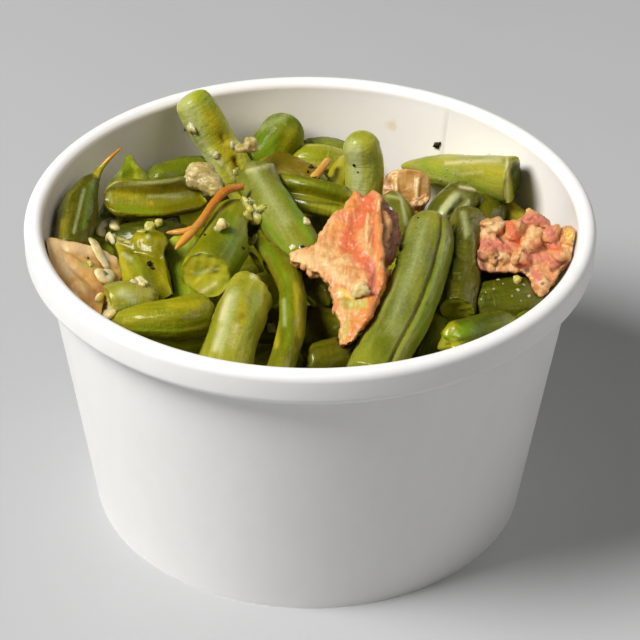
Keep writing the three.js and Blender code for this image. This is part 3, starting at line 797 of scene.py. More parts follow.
# a stroke: from, to, size, strength, and how far it raises the skin; relief strokes only raise it
flake = dict(
    point=(7.4, -12.4, 54.6), normal=(-0.27, -0.2, 0.94), depth=4.6, voxel=0.26, smooth=5,
    along=(-4.9, -34.8, -7.4), chip=dict(at=(360, 291), size=(1.6, 1.25, 0.8)),
    outline=[
        (353, 196), (355, 192), (361, 198), (367, 191), (375, 190), (380, 198), (383, 213), (384, 236),
        (384, 262), (384, 284), (378, 300), (368, 318), (356, 337), (347, 346), (339, 346), (343, 331),
        (339, 318), (334, 302), (328, 285), (322, 274), (314, 273), (309, 267), (303, 262), (295, 264),
        (290, 257), (297, 249), (308, 248), (317, 246), (319, 233), (331, 216), (344, 208),
    ],
    foot=[
        (357, 196), (364, 199), (371, 196), (379, 195), (388, 202), (397, 217), (403, 236), (397, 258),
        (389, 278), (380, 298), (371, 317), (358, 336), (348, 345), (341, 345), (346, 332), (342, 318),
        (337, 302), (332, 285), (326, 276), (318, 274), (312, 268), (306, 264), (298, 265), (294, 260),
        (299, 254), (311, 253), (322, 249), (325, 236), (337, 222), (349, 210),
    ],
    arm=[
        ((295, 256), 1), ((301, 256), 0.9), ((307, 259), 1.1), ((313, 266), 1.1), ((336, 306), 0.9),
        ((343, 328), 0.8),
    ],
    marks=dict(
        red=[
            ((368, 198), (358, 222), 9, 1, -0.3), ((352, 222), (346, 244), 9, 0.95, -0.5),
            ((352, 246), (366, 264), 8, 0.9, -0.5), ((374, 206), (374, 250), 3, 0.7, -0.3),
        ],
        pink=[((370, 262), (374, 292), 6, 0.9, -0.3)],
        orange=[
            ((346, 212), (332, 236), 8, 0.55), ((378, 214), (380, 262), 4, 0.7, 0.4),
            ((382, 276), (362, 326), 7, 0.9, 0.3), ((356, 322), (346, 340), 6, 0.8),
            ((356, 193), (350, 212), 5, 0.8, 0.3),
        ],
        pale=[
            ((368, 214), (367, 240), 2.4, 0.7, 0.5), ((325, 264), (348, 284), 9, 0.7, 0.3),
            ((295, 256), (316, 262), 7, 0.9, 0.2), ((341, 342), (346, 328), 4, 0.5),
        ],
        # deep strokes are painted shade: the steep right facet turned away from the light, and two dented
        # grooves
        deep=[
            ((386, 198), (398, 222), 7), ((399, 226), (390, 262), 8), ((383, 204), (386, 250), 3, 0.8, -0.3),
            ((373, 268), (372, 292), 4, 0.5, -0.4),
        ],
        yellow=[((343, 292), (350, 298), 5, 0.8)],
        green=[((346, 302), (364, 306), 7, 0.9), ((349, 320), (344, 336), 5, 0.6)],
    ),
)
pile = dict(
    voxel=0.22, smooth=2, crumbs=3, spread=0.7, point=(35, -3, 51.8), normal=(0, -0.42, 0.9), depth=4.4,
    crack=0.2, roughness=0.4, flakes=0.3,
    outline=[
        (482, 227), (488, 221), (498, 218), (504, 222), (516, 222), (524, 219), (531, 215), (539, 215),
        (546, 221), (552, 231), (559, 236), (562, 229), (571, 228), (577, 233), (577, 247), (574, 257),
        (568, 265), (560, 270), (553, 282), (547, 291), (541, 296), (536, 292), (534, 283), (529, 277),
        (522, 272), (512, 272), (503, 273), (493, 273), (484, 271), (478, 264), (478, 252), (481, 243),
    ],
    lumps=[
        ((492, 228), (2.2, 1.6, 1.6)), ((514, 232), (1.6, 2.6, 1.5)), ((536, 221), (2.6, 1.4, 1.6)),
        ((551, 236), (1.5, 2.2, 1.4)), ((569, 238), (1.5, 2, 1.6)), ((496, 255), (3.2, 1.9, 1.6)),
        ((532, 240), (1.5, 3, 1.6)), ((560, 254), (1.8, 2.2, 1.4)), ((541, 284), (1.5, 1.8, 1.3)),
        ((521, 258), (1.6, 2.2, 1.2)),
    ],
    marks=dict(
        pale=[
            ((487, 232), (499, 225), 7, 0.9), ((534, 228), (526, 246), 4, 0.8),
            ((573, 254), (573, 254), 4, 0.5), ((496, 255), (512, 257), 5, 0.6),
            ((545, 280), (541, 294), 4, 0.7),
        ],
        red=[
            ((510, 226), (518, 244), 6.5, 0.95), ((560, 249), (548, 247), 4.5, 0.8),
            ((518, 266), (529, 262), 4.5, 0.8),
        ],
        pink=[
            ((527, 219), (542, 220), 7), ((549, 230), (554, 242), 6, 0.9), ((484, 245), (508, 246), 8, 0.9),
            ((530, 256), (556, 262), 9, 0.7), ((535, 272), (540, 280), 6, 0.8),
        ],
        yellow=[((569, 236), (569, 236), 6.5, 0.95)],
        # deep strokes are painted shade, in dented crevices and along the lower edge of the heap
        deep=[
            ((519, 266), (527, 270), 3.5, 0.9), ((499, 236), (504, 242), 2, 0.8, -0.6),
            ((479, 254), (486, 273), 4, 0.8), ((487, 273), (512, 274), 3.5, 0.9),
            ((552, 270), (566, 262), 3.5, 0.8, -0.4), ((543, 284), (543, 284), 1.8, 0.7, -0.4),
        ],
    ),
)
bits = dict(
    voxel=0.24, smooth=1, crumbs=5, spread=0.8, point=(18, 18, 46.4), normal=(0, -0.5, 0.85), crack=0.4,
    roughness=0.35, flakes=0,
    lumps=[
        ((408, 208), (1.5, 1.2, 1.2)), ((418, 204), (1.6, 1.2, 1.4)), ((412, 220), (1.6, 1.3, 1.8)),
        ((425, 198), (1.1, 1, 1)),
    ],
    marks=dict(
        pale=[((406, 206), (422, 202), 5, 0.7)],
        orange=[((413, 222), (413, 222), 6, 0.6)],
        # deep is a spot of painted shade
        deep=[((403, 214), (403, 214), 3, 0.8)],
    ),
)


def paintHam(name, stretch, relief):
    paint = Paint(name)
    strand = paint.noise(paint.alongSkin(stretch), 1.3, 5, 0.62, 0.9)
    fat = paint.noise(paint.space(), 0.5, 4, 0.6, 0.6)
    grain = paint.noise(paint.space(), 2.2, 4, 0.7)
    tone = paint.mix(paint.between(strand * 0.5 + fat * 0.5, 0.4, 0.6), hamTones["peach"], hamTones["cream"])
    tone = paint.over(tone, fat, 0.52, 0.7, 0.5, hamTones["pale"])
    tone = paint.over(tone, fat, 0.48, 0.34, 0.5, hamTones["pink"])
    tone = paint.drawn(tone, hamMarks, hamTones, (strand - 0.5) * 0.9 + (fat - 0.5) * 0.5, 0.2, 0.8, 0.92)
    tone = paint.over(tone, grain, 0.45, 0.25, 0.25, [0.5 * c for c in hamTones["red"]])
    return paint.surface(
        Base_Color=tone, Roughness=paint.between(grain, 0.3, 0.7, 0.36, 0.55),
        Coat_Weight=paint.between(grain, 0.6, 0.3, 0.1, 0.5), Coat_Roughness=0.2,
        Normal=paint.bump(strand + grain * 0.5, relief), Subsurface_Weight=0.3, Subsurface_Scale=0.0014,
        Subsurface_Radius=(1, 0.4, 0.2),
    )


def makeFlake():
    facing = unit(flake["normal"])
    seat = onPlane(flake["chip"]["at"], flake["point"], facing) + 0.5 * facing
    parts = [slab(flake), chunk(seat, flake["chip"]["size"], 4)]
    for seed, (spot, size) in enumerate(flake["arm"]):
        middle = onPlane(spot, flake["point"], facing) - 0.9 * facing
        parts.append(chunk(middle, size * np.array((1, 1, 1.1)), seed, 0.7, 0.3))
    places, normals, faces = fuse(parts, flake["voxel"], flake["smooth"])
    drawn = grainOf(places, flake)
    found, rise = strokes(places, flake["marks"], hamMarks)
    strand = cloud(drawn * (0.09, 0.7, 0.7), 1, 2, 3)
    torn = cloud(drawn * (0.3, 0.55, 0.55), 1, 5, 5)
    crumbly = cloud(places, 0.75, 9, 4)
    places = places + normals * (0.3 * strand + 0.4 * torn + 0.3 * crumbly + rise)[:, None]
    chipped = 1.6 * np.exp(-((np.linalg.norm(places - seat, axis=-1) / 1.5) ** 2))
    found["pale"] = np.maximum(found["pale"], chipped)
    meat = paintHam("hamFlakeMeat", (0.22, 1, 1), 0.22)
    standIn("ham_flake", keepInCup(places), faces, meat, {"skinPlace": drawn, **found})


def makeCrumbs(name, node, heap, seed):
    # each lump breaks into smaller crumbs, no two alike
    draw = np.random.default_rng(seed)
    parts = [slab(heap)] if "outline" in heap else []
    for spot, size in heap["lumps"]:
        size = np.array(size, float)
        middle = onPlane(spot, heap["point"], unit(heap["normal"]))
        parts.append(chunk(middle, size * 0.85, draw.uniform(0, 50), 0.6, 0.25, draw.uniform(-0.6, 0.6, 3)))
        for _ in range(heap["crumbs"]):
            way = unit(draw.normal(size=3))
            centre = middle + way * size * heap["spread"] * draw.uniform(0.7, 1)
            small = size * draw.uniform(0.25, 0.55, 3)
            parts.append(chunk(centre, small, draw.uniform(0, 50), 0.55, 0.3, draw.uniform(0, 6, 3)))
    places, normals, faces = fuse(parts, heap["voxel"], heap["smooth"])
    rough = cloud(places, 0.4, seed, 4) * heap["roughness"] + cloud(places, 1.4, seed + 1, 3) * 0.12
    rough += np.abs(cloud(places * (1, 1, 1.6), 0.62, seed + 5, 3)) * heap["flakes"]
    crack = np.exp(-((cloud(places, 0.2, seed + 2, 3) / 0.06) ** 2))
    crack *= np.clip(0.5 + 2 * cloud(places, 0.1, seed + 4, 1), 0, 1)
    found, rise = strokes(places, heap["marks"], hamMarks)
    # the cracks get painted shade in the deep tone as well as being pushed in
    found["deep"] = np.maximum(found["deep"], 0.75 * crack)
    places = keepInCup(places + normals * (rough + rise - heap["crack"] * crack)[:, None])
    meat = paintHam(name + "Meat", (0.5, 0.5, 0.5), 0.4)
    standIn(node, places, faces, meat, {"skinPlace": places, **found}, name)


makeFlake()
makeCrumbs("hamPile", "ham_pile_right", pile, 11)

print("onion and garlic")

onionTones = dict(
    body=(0.5, 0.26, 0.055), clear=(0.66, 0.4, 0.12), pale=(0.76, 0.55, 0.28), deep=(0.36, 0.15, 0.025),
    green=(0.42, 0.36, 0.05),
)
onionMarks = list(onionTones)[2:]
onions = {
    "onion_piece_left": dict(
        point=(-38.2, -8, 50.2), normal=(0.3, -0.25, 0.92), depth=2.6, voxel=0.26, smooth=6,
        along=(0.5, -0.86, 0), bend=-0.012, coat=0.5,
        outline=[
            (40, 241), (52, 237), (67, 243), (86, 246), (104, 250), (118, 257), (125, 270), (122, 284),
            (110, 294), (103, 303), (101, 318), (90, 310), (72, 292), (56, 274), (45, 258),
        ],
        marks=dict(
            # pale strokes: the whitish top edge, and painted highlights on the glossy bumps below it
            pale=[
                ((46, 244), (116, 254), 8, 0.9, 0.3), ((48, 248), (66, 270), 14, 0.8),
                ((56, 260), (66, 270), 7, 0.5, 0.3), ((76, 284), (92, 300), 6, 0.6, 0.4),
            ],
            # deep strokes: the browner lower right, and painted shade along two dented fold lines
            deep=[
                ((100, 268), (122, 284), 9, 0.9, -0.3), ((92, 296), (112, 286), 10, 0.9),
                ((62, 250), (84, 262), 2, 0.5, -0.25), ((70, 268), (96, 290), 2.5, 0.5, -0.3),
            ],
            green=[((80, 264), (96, 268), 4, 0.8, 0.2)],
        ),
    ),
    "onion_piece_back": dict(
        point=(17.2, 23.2, 46.4), normal=(0.05, -0.8, 0.6), depth=1.6, voxel=0.22, smooth=5,
        along=(0, 0.6, 0.8), bend=-0.045, coat=0.1,
        outline=[
            (383, 186), (386, 175), (394, 170), (408, 169), (422, 171), (431, 179), (431, 197), (418, 214),
            (398, 216), (387, 208), (383, 197),
        ],
        marks=dict(
            pale=[
                ((396, 179), (397, 204), 2, 0.8, 0.5), ((418, 179), (416, 203), 2.4, 1, 0.5),
                ((425, 178), (428, 192), 6, 0.4),
            ],
            deep=[
                ((387, 176), (391, 198), 5, 0.9), ((387, 190), (392, 206), 4, 0.9),
                ((405, 196), (410, 206), 6, 0.6, -0.3),
            ],
        ),
    ),
}
garlicTones = dict(pale=(0.6, 0.5, 0.24), deep=(0.38, 0.29, 0.08))
garlics = {
    "garlic_crumb_large": dict(block=0.8, lumps=[
        ((-19.2, 16, 52.2), (2.7, 2.3, 1.9)), ((-17.6, 14.4, 51.4), (2.2, 1.9, 1.6)),
        ((-20.6, 14.8, 51.6), (1.7, 1.6, 1.4)), ((-16.6, 12.6, 51.2), (1.3, 1.3, 1)),
    ]),
    "garlic_crumb_back": dict(block=0.6, lumps=[
        ((-10.9, 27, 52), (1.3, 1.2, 1.2)), ((-12.3, 26.2, 51.6), (1.5, 1.1, 0.6)),
    ]),
    "garlic_crumb_middle": dict(block=0.8, lumps=[
        ((-14.6, -1.2, 52.6), (1.1, 0.75, 0.6)), ((-15.2, -0.7, 52.5), (0.6, 0.5, 0.5)),
    ]),
}


def paintOnion(name, coat):
    paint = Paint(name)
    vein = paint.noise(paint.alongSkin((0.25, 1, 1)), 0.9, 3, 0.5, 0.3)
    cloudy = paint.noise(paint.space(), 0.22, 4, 0.6, 0.5)
    tone = paint.mix(paint.between(cloudy, 0.35, 0.65), onionTones["body"], onionTones["clear"])
    tone = paint.over(tone, vein, 0.5, 0.72, 0.2, onionTones["pale"])
    tone = paint.drawn(tone, onionMarks, onionTones, (cloudy - 0.5) * 0.6, 0.2, 0.85, 0.85)
    return paint.surface(
        Base_Color=tone, Roughness=0.4, Coat_Weight=coat, Coat_Roughness=0.14,
        Normal=paint.bump(vein * 0.3 + cloudy, 0.5), Subsurface_Weight=0.6, Subsurface_Scale=0.0025,
        Subsurface_Radius=(1, 0.5, 0.2),
    )


def makeOnions():
    for seed, (node, onion) in enumerate(onions.items()):
        places, normals, faces = fuse([slab(onion)], onion["voxel"], onion["smooth"])
        found, rise = strokes(places, onion["marks"], onionMarks)
        drawn = grainOf(places, onion)
        side = drawn[:, 1] - drawn[:, 1].mean()
        lift = onion["bend"] * side**2 + 0.35 * cloud(places, 0.16, seed + 3)
        lift += 0.25 * cloud(places, 0.42, seed, 3)
        places = places + unit(onion["normal"]) * lift[:, None] + normals * rise[:, None]
        places = keepInCup(sinkUnder(places, onion["normal"], stack))
        material = paintOnion(pieceName(node) + "Flesh", onion["coat"])
        standIn(node, places, faces, material, {"skinPlace": drawn, **found})


def paintGarlic(name, tones, gloss=0.25):
    paint = Paint(name)
    cloudy = paint.noise(paint.space(), 0.7, 4, 0.6, 0.3)
    return paint.surface(
        Base_Color=paint.mix(paint.between(cloudy, 0.32, 0.74), tones["deep"], tones["pale"]),
        Roughness=paint.between(cloudy, 0.3, 0.7, 0.36, 0.55), Specular_IOR_Level=2 * gloss,
        Coat_Weight=gloss, Coat_Roughness=0.25, Normal=paint.bump(paint.noise(paint.space(), 1.8, 4), 0.12),
        Subsurface_Weight=0.9, Subsurface_Scale=0.0035, Subsurface_Radius=(1, 0.75, 0.45),
    )


def makeGarlic():
    material = paintGarlic("garlicFlesh", garlicTones)
    for seed, (node, garlic) in enumerate(garlics.items()):
        parts = [chunk(c, s, 3 * seed + k, garlic["block"], 0.12) for k, (c, s) in enumerate(garlic["lumps"])]
        places, normals, faces = fuse(parts, 0.2, 8)
        standIn(node, places + normals * 0.22 * cloud(places, 1.2, seed, 4)[:, None], faces, material)


makeGarlic()
makeCrumbs("hamBitsBack", "ham_bits_back", bits, 23)
makeOnions()

print("green beans")

# deep and fresh are the two greens of the skin, light is on ridges and wrinkles
looks = {
    "pale": dict(deep=(0.26, 0.28, 0.012), fresh=(0.44, 0.44, 0.04), light=(0.66, 0.65, 0.2)),
    "green": dict(deep=(0.15, 0.19, 0.006), fresh=(0.33, 0.36, 0.02), light=(0.54, 0.56, 0.15)),
    "olive": dict(deep=(0.17, 0.18, 0.003), fresh=(0.34, 0.33, 0.008), light=(0.54, 0.52, 0.08)),
    "dark": dict(deep=(0.06, 0.085, 0.002), fresh=(0.15, 0.165, 0.005), light=(0.36, 0.37, 0.07)),
    # the under look is kept dark as painted shade, for beans seen only through the gaps
    "under": dict(deep=(0.055, 0.07, 0.002), fresh=(0.15, 0.155, 0.004), light=(0.28, 0.28, 0.02)),
    "pod": dict(deep=(0.2, 0.19, 0.002), fresh=(0.35, 0.33, 0.006), light=(0.52, 0.5, 0.06)),
    "carrot": dict(deep=(0.55, 0.14, 0.01), fresh=(0.74, 0.28, 0.035), light=(0.86, 0.46, 0.12)),
}
# flesh shows where a bean is cut, and inside where a pod is split
fleshTones = dict(
    rim=(0.38, 0.38, 0.016), middle=(0.38, 0.36, 0.03), hollow=(0.32, 0.3, 0.012), inside=(0.2, 0.19, 0.006),
)
# dark strokes are painted shade, in creases, on cut ends turned from the light and where other pieces shade a
# bean
# pale strokes are partly pale skin and membrane, partly painted highlights on lit rims and wet skin
# ripe, brown, leaf and orange are the skin's own colours; the whitish-green sheen strokes are painted sheen
# and highlights on the wet skin
markTones = dict(
    ripe=(0.46, 0.38, 0.012), pale=(0.84, 0.72, 0.4), grey=(0.46, 0.5, 0.22), brown=(0.2, 0.085, 0.012),
    dark=(0.03, 0.045, 0.002), leaf=(0.15, 0.28, 0.008), orange=(0.62, 0.26, 0.02),
)


def paintBean(name, look, kinds, shine):
    # a smooth wet skin: broad soft bands, a little mottling and fine wrinkles across
    paint = Paint(name)
    patch = paint.noise(paint.alongSkin((0.09, 0.17, 0.17)), 1, 2, 0.5, 0.3)
    band = paint.noise(paint.alongSkin((0.07, 0.55, 0.55)), 1, 2, 0.5, 0.2)
    wrinkle = paint.noise(paint.alongSkin((1.5, 0.3, 0.3)), 1.1, 3, 0.6, 0.6)
    grain = paint.noise(paint.alongSkin((1.2, 1.4, 1.4)), 1.5, 4, 0.65)
    pulp = paint.noise(paint.alongSkin((0.5, 0.5, 0.8)), 0.9, 3, 0.6, 0.6)
    wet = paint.noise(paint.alongSkin((0.3, 0.5, 0.5)), 0.8, 3)
    face = paint.amount("face")
    tone = paint.mix(paint.between(patch, 0.3, 0.7), look["deep"], look["fresh"])
    for ridge in (band, 0.46, 0.76, 0.42), (wrinkle, 0.56, 0.72, 0.22), (grain, 0.6, 0.76, 0.3):
        tone = paint.over(tone, *ridge, look["light"])
    tone = paint.over(tone, grain, 0.44, 0.26, 0.35, [0.45 * c for c in look["deep"]])
    tone = paint.over(tone, band, 0.3, 0.6, paint.amount("seam") * 0.4, look["light"])
    tone = paint.mix(paint.amount("inner") * 0.8, tone, fleshTones["inside"])
    flesh = paint.mix(paint.between(pulp, 0.3, 0.8), fleshTones["rim"], fleshTones["middle"])
    flesh = paint.mix(paint.amount("hollow"), flesh, fleshTones["hollow"])
    tone = paint.mix(face, tone, flesh)
    # strokes laid over the skin: its own colours, with painted sheen, highlights and shade
    tone = paint.drawn(tone, kinds, markTones, (band - 0.5) * 0.5 + (grain - 0.5) * 0.5, 0.02, 1.15, 0.92)
    height = (patch * 1.2 + band * 0.7 + wrinkle * 0.5 + grain * 0.35) * (1 - face * 0.75)
    pores = paint.bump(paint.noise(paint.alongSkin(), 4, 3, 0.6), 0.03)
    return paint.surface(
        Base_Color=tone, Roughness=paint.between(wet, 0.3, 0.7, 0.34, 0.52), Specular_IOR_Level=0.3 * shine,
        Specular_Tint=(0.95, 1, 0.3), Coat_Roughness=0.12, Normal=paint.bump(height, 0.28, pores),
        Coat_Weight=paint.between(wet, 0.66, 0.34, 0.04 * shine, 0.72 * shine), Subsurface_Weight=0.15,
        Subsurface_Scale=0.0012, Subsurface_Radius=(0.7, 1, 0.15),
    )


# spines are in millimetres; gain brightens or darkens a look, slant and lean tilt a cut end, and an outline
# is the bean's own section or, with a depth, the edge of a flat torn piece
beans = {
    "carrot_shred": dict(
        look="carrot", gain=(0.9, 1, 1), width=1.5, thickness=1.3, start="snapped", end="tip", seeds=0,
        crease=0.05,
        spine=[
            (-11.9, 11.8, 52.4), (-14.7, 9.2, 53), (-16.8, 5.4, 52.5), (-18, 2, 52.2), (-19.5, -0.8, 51.6),
            (-22.6, -5.2, 50.2),
        ],
        branch=dict(
            width=1.2, thickness=1.1, end="tip",
            spine=[(-17.9, 2.6, 52), (-19.7, -1, 51.8), (-21.8, -1.6, 51.4), (-24.3, -1.3, 51)],
        ),
    ),
    "carrot_shred_small": dict(
        look="carrot", gain=(1, 1.3, 1.6), width=1.5, thickness=1.1, start="snapped", end="snapped",
        spine=[(3.1, 29.3, 47.8), (1.8, 25.8, 48), (0.3, 23, 47.6)],
    ),
    "bean_leaning_back": dict(
        look="pale", gain=(1.3, 1.28, 1.3), shine=0.6, width=7, thickness=6.6, facing=(0.3, -1, 0.4),
        slack=0.05,
        scales=[(0, 0.5), (0.012, 0.72), (0.03, 0.88), (0.06, 0.97), (0.1, 1), (1, 1)],
        spine=[(-22.2, 34.8, 57.5), (-17.9, 32.8, 50.3), (-15, 31.5, 45.6), (-10, 29.5, 37.5)],
        marks=dict(
            grey=[((183, 98), (210, 170), 10, 0.8)],
            leaf=[((196, 88), (212, 108), 7, 0.5)],
            ripe=[((209, 112), (222, 140), 8), ((222, 140), (252, 200), 9, 1.2, -0.25)],
            brown=[((222, 136), (225, 142), 2.2, 0.6, -0.5), ((236, 160), (240, 170), 3, 0.7, -0.9)],
            pale=[
                ((212, 152), (222, 164), 3.5, 0.8, 0.4), ((228, 168), (234, 180), 2.5, 0.7, 0.3),
                ((246, 184), (250, 194), 4, 0.8, 0.3), ((245, 145), (232, 143), 3, 0.6, 0.2),
            ],
        ),
    ),
    "bean_centre": dict(
        look="pale", gain=(0.47, 0.49, 0.36), width=7.5, thickness=6, start="snapped", facing=toViewer,
        tear=2.2, slack=0.07, startSlant=-0.25,
        spine=[(-10.4, 21.8, 48.8), (-6.5, 9.3, 49.5), (-1.6, -1.6, 48.4)],
        marks=dict(
            grey=[((256, 176), (286, 220), 10, 0.5)],
            pale=[((248, 172), (272, 166), 3, 0.5, 0.4)],
            leaf=[((264, 222), (286, 250), 5, 0.6), ((284, 186), (312, 238), 7, 0.8)],
            brown=[((299, 247), (304, 246), 2, 0.7)],
        ),
    ),
    "bean_grooved_front": dict(
        look="green", gain=(0.67, 0.64, 0.66), width=8.8, thickness=6.6, end="cut", facing=toViewer,
        slack=0.03, seeds=0.012, groove=dict(depth=0.2, width=0.08, turn=62), sides=112,
        scales=[(0, 0.5), (0.015, 0.66), (0.05, 0.84), (0.12, 0.95), (0.2, 1), (1, 1)],
        spine=[(20.6, 3.4, 51.4), (19, -8.5, 51), (15.9, -21, 49.6), (11.9, -30.6, 47.2), (10.2, -35, 45.6)],
        marks=dict(
            ripe=[((433, 212), (437, 222), 7, 0.6)],
            grey=[((424, 224), (392, 330), 10, 0.5), ((450, 240), (430, 300), 4, 0.6)],
            leaf=[((452, 246), (420, 330), 8, 0.6)],
        ),
    ),
    "bean_upright": dict(
        look="pale", gain=(0.92, 0.93, 1.1), width=6.7, thickness=6.4, end="cut", facing=(0, -1, 0.2),
        slack=0.03, seeds=0.015,
        spine=[(8.9, 27.2, 51.2), (9.4, 26.9, 48.5), (9.3, 25.2, 43), (8.8, 23.5, 36.5)],
        marks=dict(
            grey=[((352, 148), (360, 205), 9, 0.9)],
            pale=[((358, 150), (358, 178), 4, 0.6)],
            leaf=[((376, 160), (378, 196), 5, 0.6)],
            ripe=[((366, 138), (372, 150), 5, 0.6)],
        ),
    ),
    "bean_right_long": dict(
        look="pale", gain=(0.83, 0.81, 0.9), width=5.2, thickness=5, taper=1.72, start="tip", end="cut",
        slack=0.05, endSlant=0.55, endLean=-0.3, hollow=0.25, seeds=0.02,
        spine=[(16.6, 36, 42.6), (26.4, 29, 45.4), (35.3, 18.3, 50.4)],
        marks=dict(
            leaf=[((425, 166), (486, 190), 7, 0.6), ((432, 178), (505, 200), 4, 0.5)],
            ripe=[((470, 166), (505, 176), 8, 0.6)],
            # a dark stroke of painted shade on the cut face, which faces away from the light
            dark=[((516, 168), (520, 200), 5, 2.4)],
            # the pale strokes are painted highlights: the lit rim of the cut and the wet top of the bean
            pale=[
                ((507, 158), (508, 204), 1.8, 0.7), ((446, 163), (500, 160), 3, 0.55),
                ((450, 176), (482, 172), 3, 0.4),
            ],
        ),
    ),
    "bean_front_left": dict(
        look="pale", gain=(0.82, 0.78, 0.6), width=8.3, thickness=7.2, start="snapped", facing=toViewer,
        startSlant=0.35, slack=0.07,
        spine=[(-9.2, -13.6, 48.2), (-11.1, -21.1, 47.8), (-12.9, -30.2, 46), (-14, -36.6, 44.2)],
        marks=dict(
            # pale strokes are painted highlights on the wet left side and the broken top
            pale=[
                ((252, 276), (262, 275), 3.5, 0.7), ((229, 297), (222, 318), 4.5, 0.75),
                ((237, 326), (232, 346), 4, 0.5), ((221, 330), (215, 348), 4, 0.7),
            ],
            grey=[((234, 294), (219, 345), 8, 0.7)],
            brown=[((242, 316), (242, 316), 4.5, 0.8)],
            ripe=[((242, 300), (243, 322), 5, 0.7), ((268, 285), (262, 345), 4, 0.7)],
            leaf=[((256, 290), (250, 340), 6, 0.5)],
        ),
    ),
    "pod_strip_front": dict(
        look="pod", gain=(0.55, 0.58, 0.5), width=4.7, thickness=4, start="snapped", end="cut",
        facing=toViewer, sides=64, slack=0.03,
        outline=[
            (-1, -0.15), (-0.88, 0.25), (-0.6, 0.45), (-0.3, 0.88), (0.1, 1), (0.5, 0.8), (0.88, 0.42),
            (1, -0.05), (0.75, -0.7), (0, -1), (-0.75, -0.7),
        ],
        spine=[
            (-8.3, 5.6, 46.4), (-5, -4.6, 47.6), (-2.9, -14.2, 48.4), (-2.8, -25.5, 48.2),
            (-4.3, -34.1, 46.8), (-5, -38, 45.6),
        ],
        marks=dict(
            leaf=[((266, 245), (287, 280), 5, 0.6), ((287, 280), (288, 345), 6, 0.5)],
            ripe=[((296, 285), (299, 335), 4, 0.8), ((275, 290), (276, 345), 4, 0.8)],
            brown=[((268, 256), (277, 285), 1.8, 0.6)],
            grey=[((284, 300), (285, 325), 2.5, 0.8)],
        ),
    ),
    "pod_half_left": dict(
        look="pod", gain=(0.63, 0.58, 0.14), width=7, thickness=5.6, end="snapped",
        facing=(0.05, -0.75, 0.66), seeds=0, slack=0.03, sides=72,
        outline=[
            (-1, 0.1), (-0.92, 0.5), (-0.74, 0.62), (-0.58, 0.36), (-0.3, 0.18), (0, 0.14), (0.3, 0.18),
            (0.58, 0.36), (0.74, 0.62), (0.92, 0.5), (1, 0.1), (0.8, -0.55), (0.4, -0.92), (0, -1),
            (-0.4, -0.92), (-0.8, -0.55),
        ],
        spine=[(-32.4, 11.2, 50), (-26, 11, 50.1), (-19.2, 14.4, 49.6)],
        marks=dict(
            brown=[((136, 189), (188, 187), 6, 0.35, -0.3)],
            ripe=[((110, 192), (135, 196), 7, 0.6)],
            leaf=[((118, 207), (160, 213), 4, 0.6)],
            grey=[
                ((110, 186), (186, 179), 2.5, 0.6), ((108, 188), (112, 202), 2.5, 0.5),
                ((150, 196), (180, 196), 3, 0.5),
            ],
            orange=[((151, 203), (151, 203), 2.5, 0.8)],
        ),
    ),
    "bean_left_tailed": dict(
        look="dark", gain=(0.5, 0.43, 0.15), width=7, thickness=6.4, slack=0.05,
        scales=[(0, 0.12), (0.03, 0.26), (0.1, 0.5), (0.2, 0.68), (0.36, 0.88), (0.55, 1), (1, 0.9)],
        spine=[(-37.6, 15.2, 52.4), (-39.2, 11, 51), (-40.2, 4.4, 49.2), (-40.6, -3.4, 47)],
        branch=dict(
            width=2.1, thickness=1.8, slack=0.02,
            scales=[(0, 0.1), (0.08, 0.22), (0.3, 0.34), (0.55, 0.5), (0.8, 0.85), (1, 1)],
            spine=[(-33, 17.9, 56.4), (-35.4, 16.5, 54.6), (-37.1, 15.3, 52.8), (-37.9, 13.4, 51.6)],
        ),
        marks=dict(
            orange=[((122, 147), (108, 160), 5)],
            ripe=[((108, 160), (97, 174), 5, 0.9), ((62, 222), (60, 240), 4, 0.5)],
            grey=[((84, 190), (74, 232), 2.4, 0.7)],
            leaf=[((92, 185), (84, 225), 5, 0.6)],
        ),
    ),
    "bean_left_cut_open": dict(
        look="olive", gain=(0.63, 0.67, 0.4), width=8.8, thickness=7.6, end="cut", facing=toViewer,
        hollow=0.04, endLean=0.45, slack=0.04, seeds=0.015,
        spine=[(-13.1, 8.2, 47.4), (-14.2, 1, 48), (-17.4, -8.2, 47)],
        marks=dict(
            leaf=[((226, 225), (240, 262), 14, 0.6)],
            ripe=[
                ((186, 262), (196, 285), 7, 0.8), ((200, 262), (218, 270), 5, 0.7, 0.3),
                ((196, 284), (214, 276), 3, 0.7, -0.3),
            ],
            grey=[((194, 274), (218, 268), 2, 0.8, 0.3)],
            pale=[((200, 293), (216, 283), 2.5, 0.7, 0.3)],
            brown=[((243, 247), (243, 247), 1.5, 0.7)],
        ),
    ),
    "bean_left_pale_end": dict(
        look="pale", gain=(0.82, 0.76, 0.95), width=6.2, thickness=5.4, start="cut", end="snapped",
        hollow=0.05,
        spine=[(-33, -17.2, 47.6), (-29.6, -16.2, 47.8), (-25.6, -15.4, 46.6)],
        marks=dict(
            pale=[((100, 300), (110, 314), 6, 0.8)],
            grey=[((122, 293), (134, 300), 6, 0.9)],
            leaf=[((120, 308), (146, 306), 5, 0.5)],
        ),
    ),
    "bean_left_ragged": dict(
        look="olive", gain=(0.8, 0.72, 0.2), shine=0.6, point=(-28.4, -6, 49.4), normal=(-0.1, -0.35, 0.93),
        depth=5, voxel=0.25, smooth=6, along=(0.35, -0.9, -0.1),
        outline=[
            (112, 234), (117, 241), (121, 237), (126, 242), (132, 240), (138, 233), (147, 230), (156, 230),
            (164, 234), (168, 243), (164, 252), (166, 264), (170, 278), (174, 294), (160, 302), (140, 302),
            (127, 295), (123, 284), (121, 272), (118, 258), (114, 246),
        ],
        marks=dict(
            ripe=[((118, 246), (126, 276), 7, 0.7), ((140, 240), (158, 242), 7, 0.5, 1)],
            leaf=[((138, 266), (146, 290), 8, 0.4)],
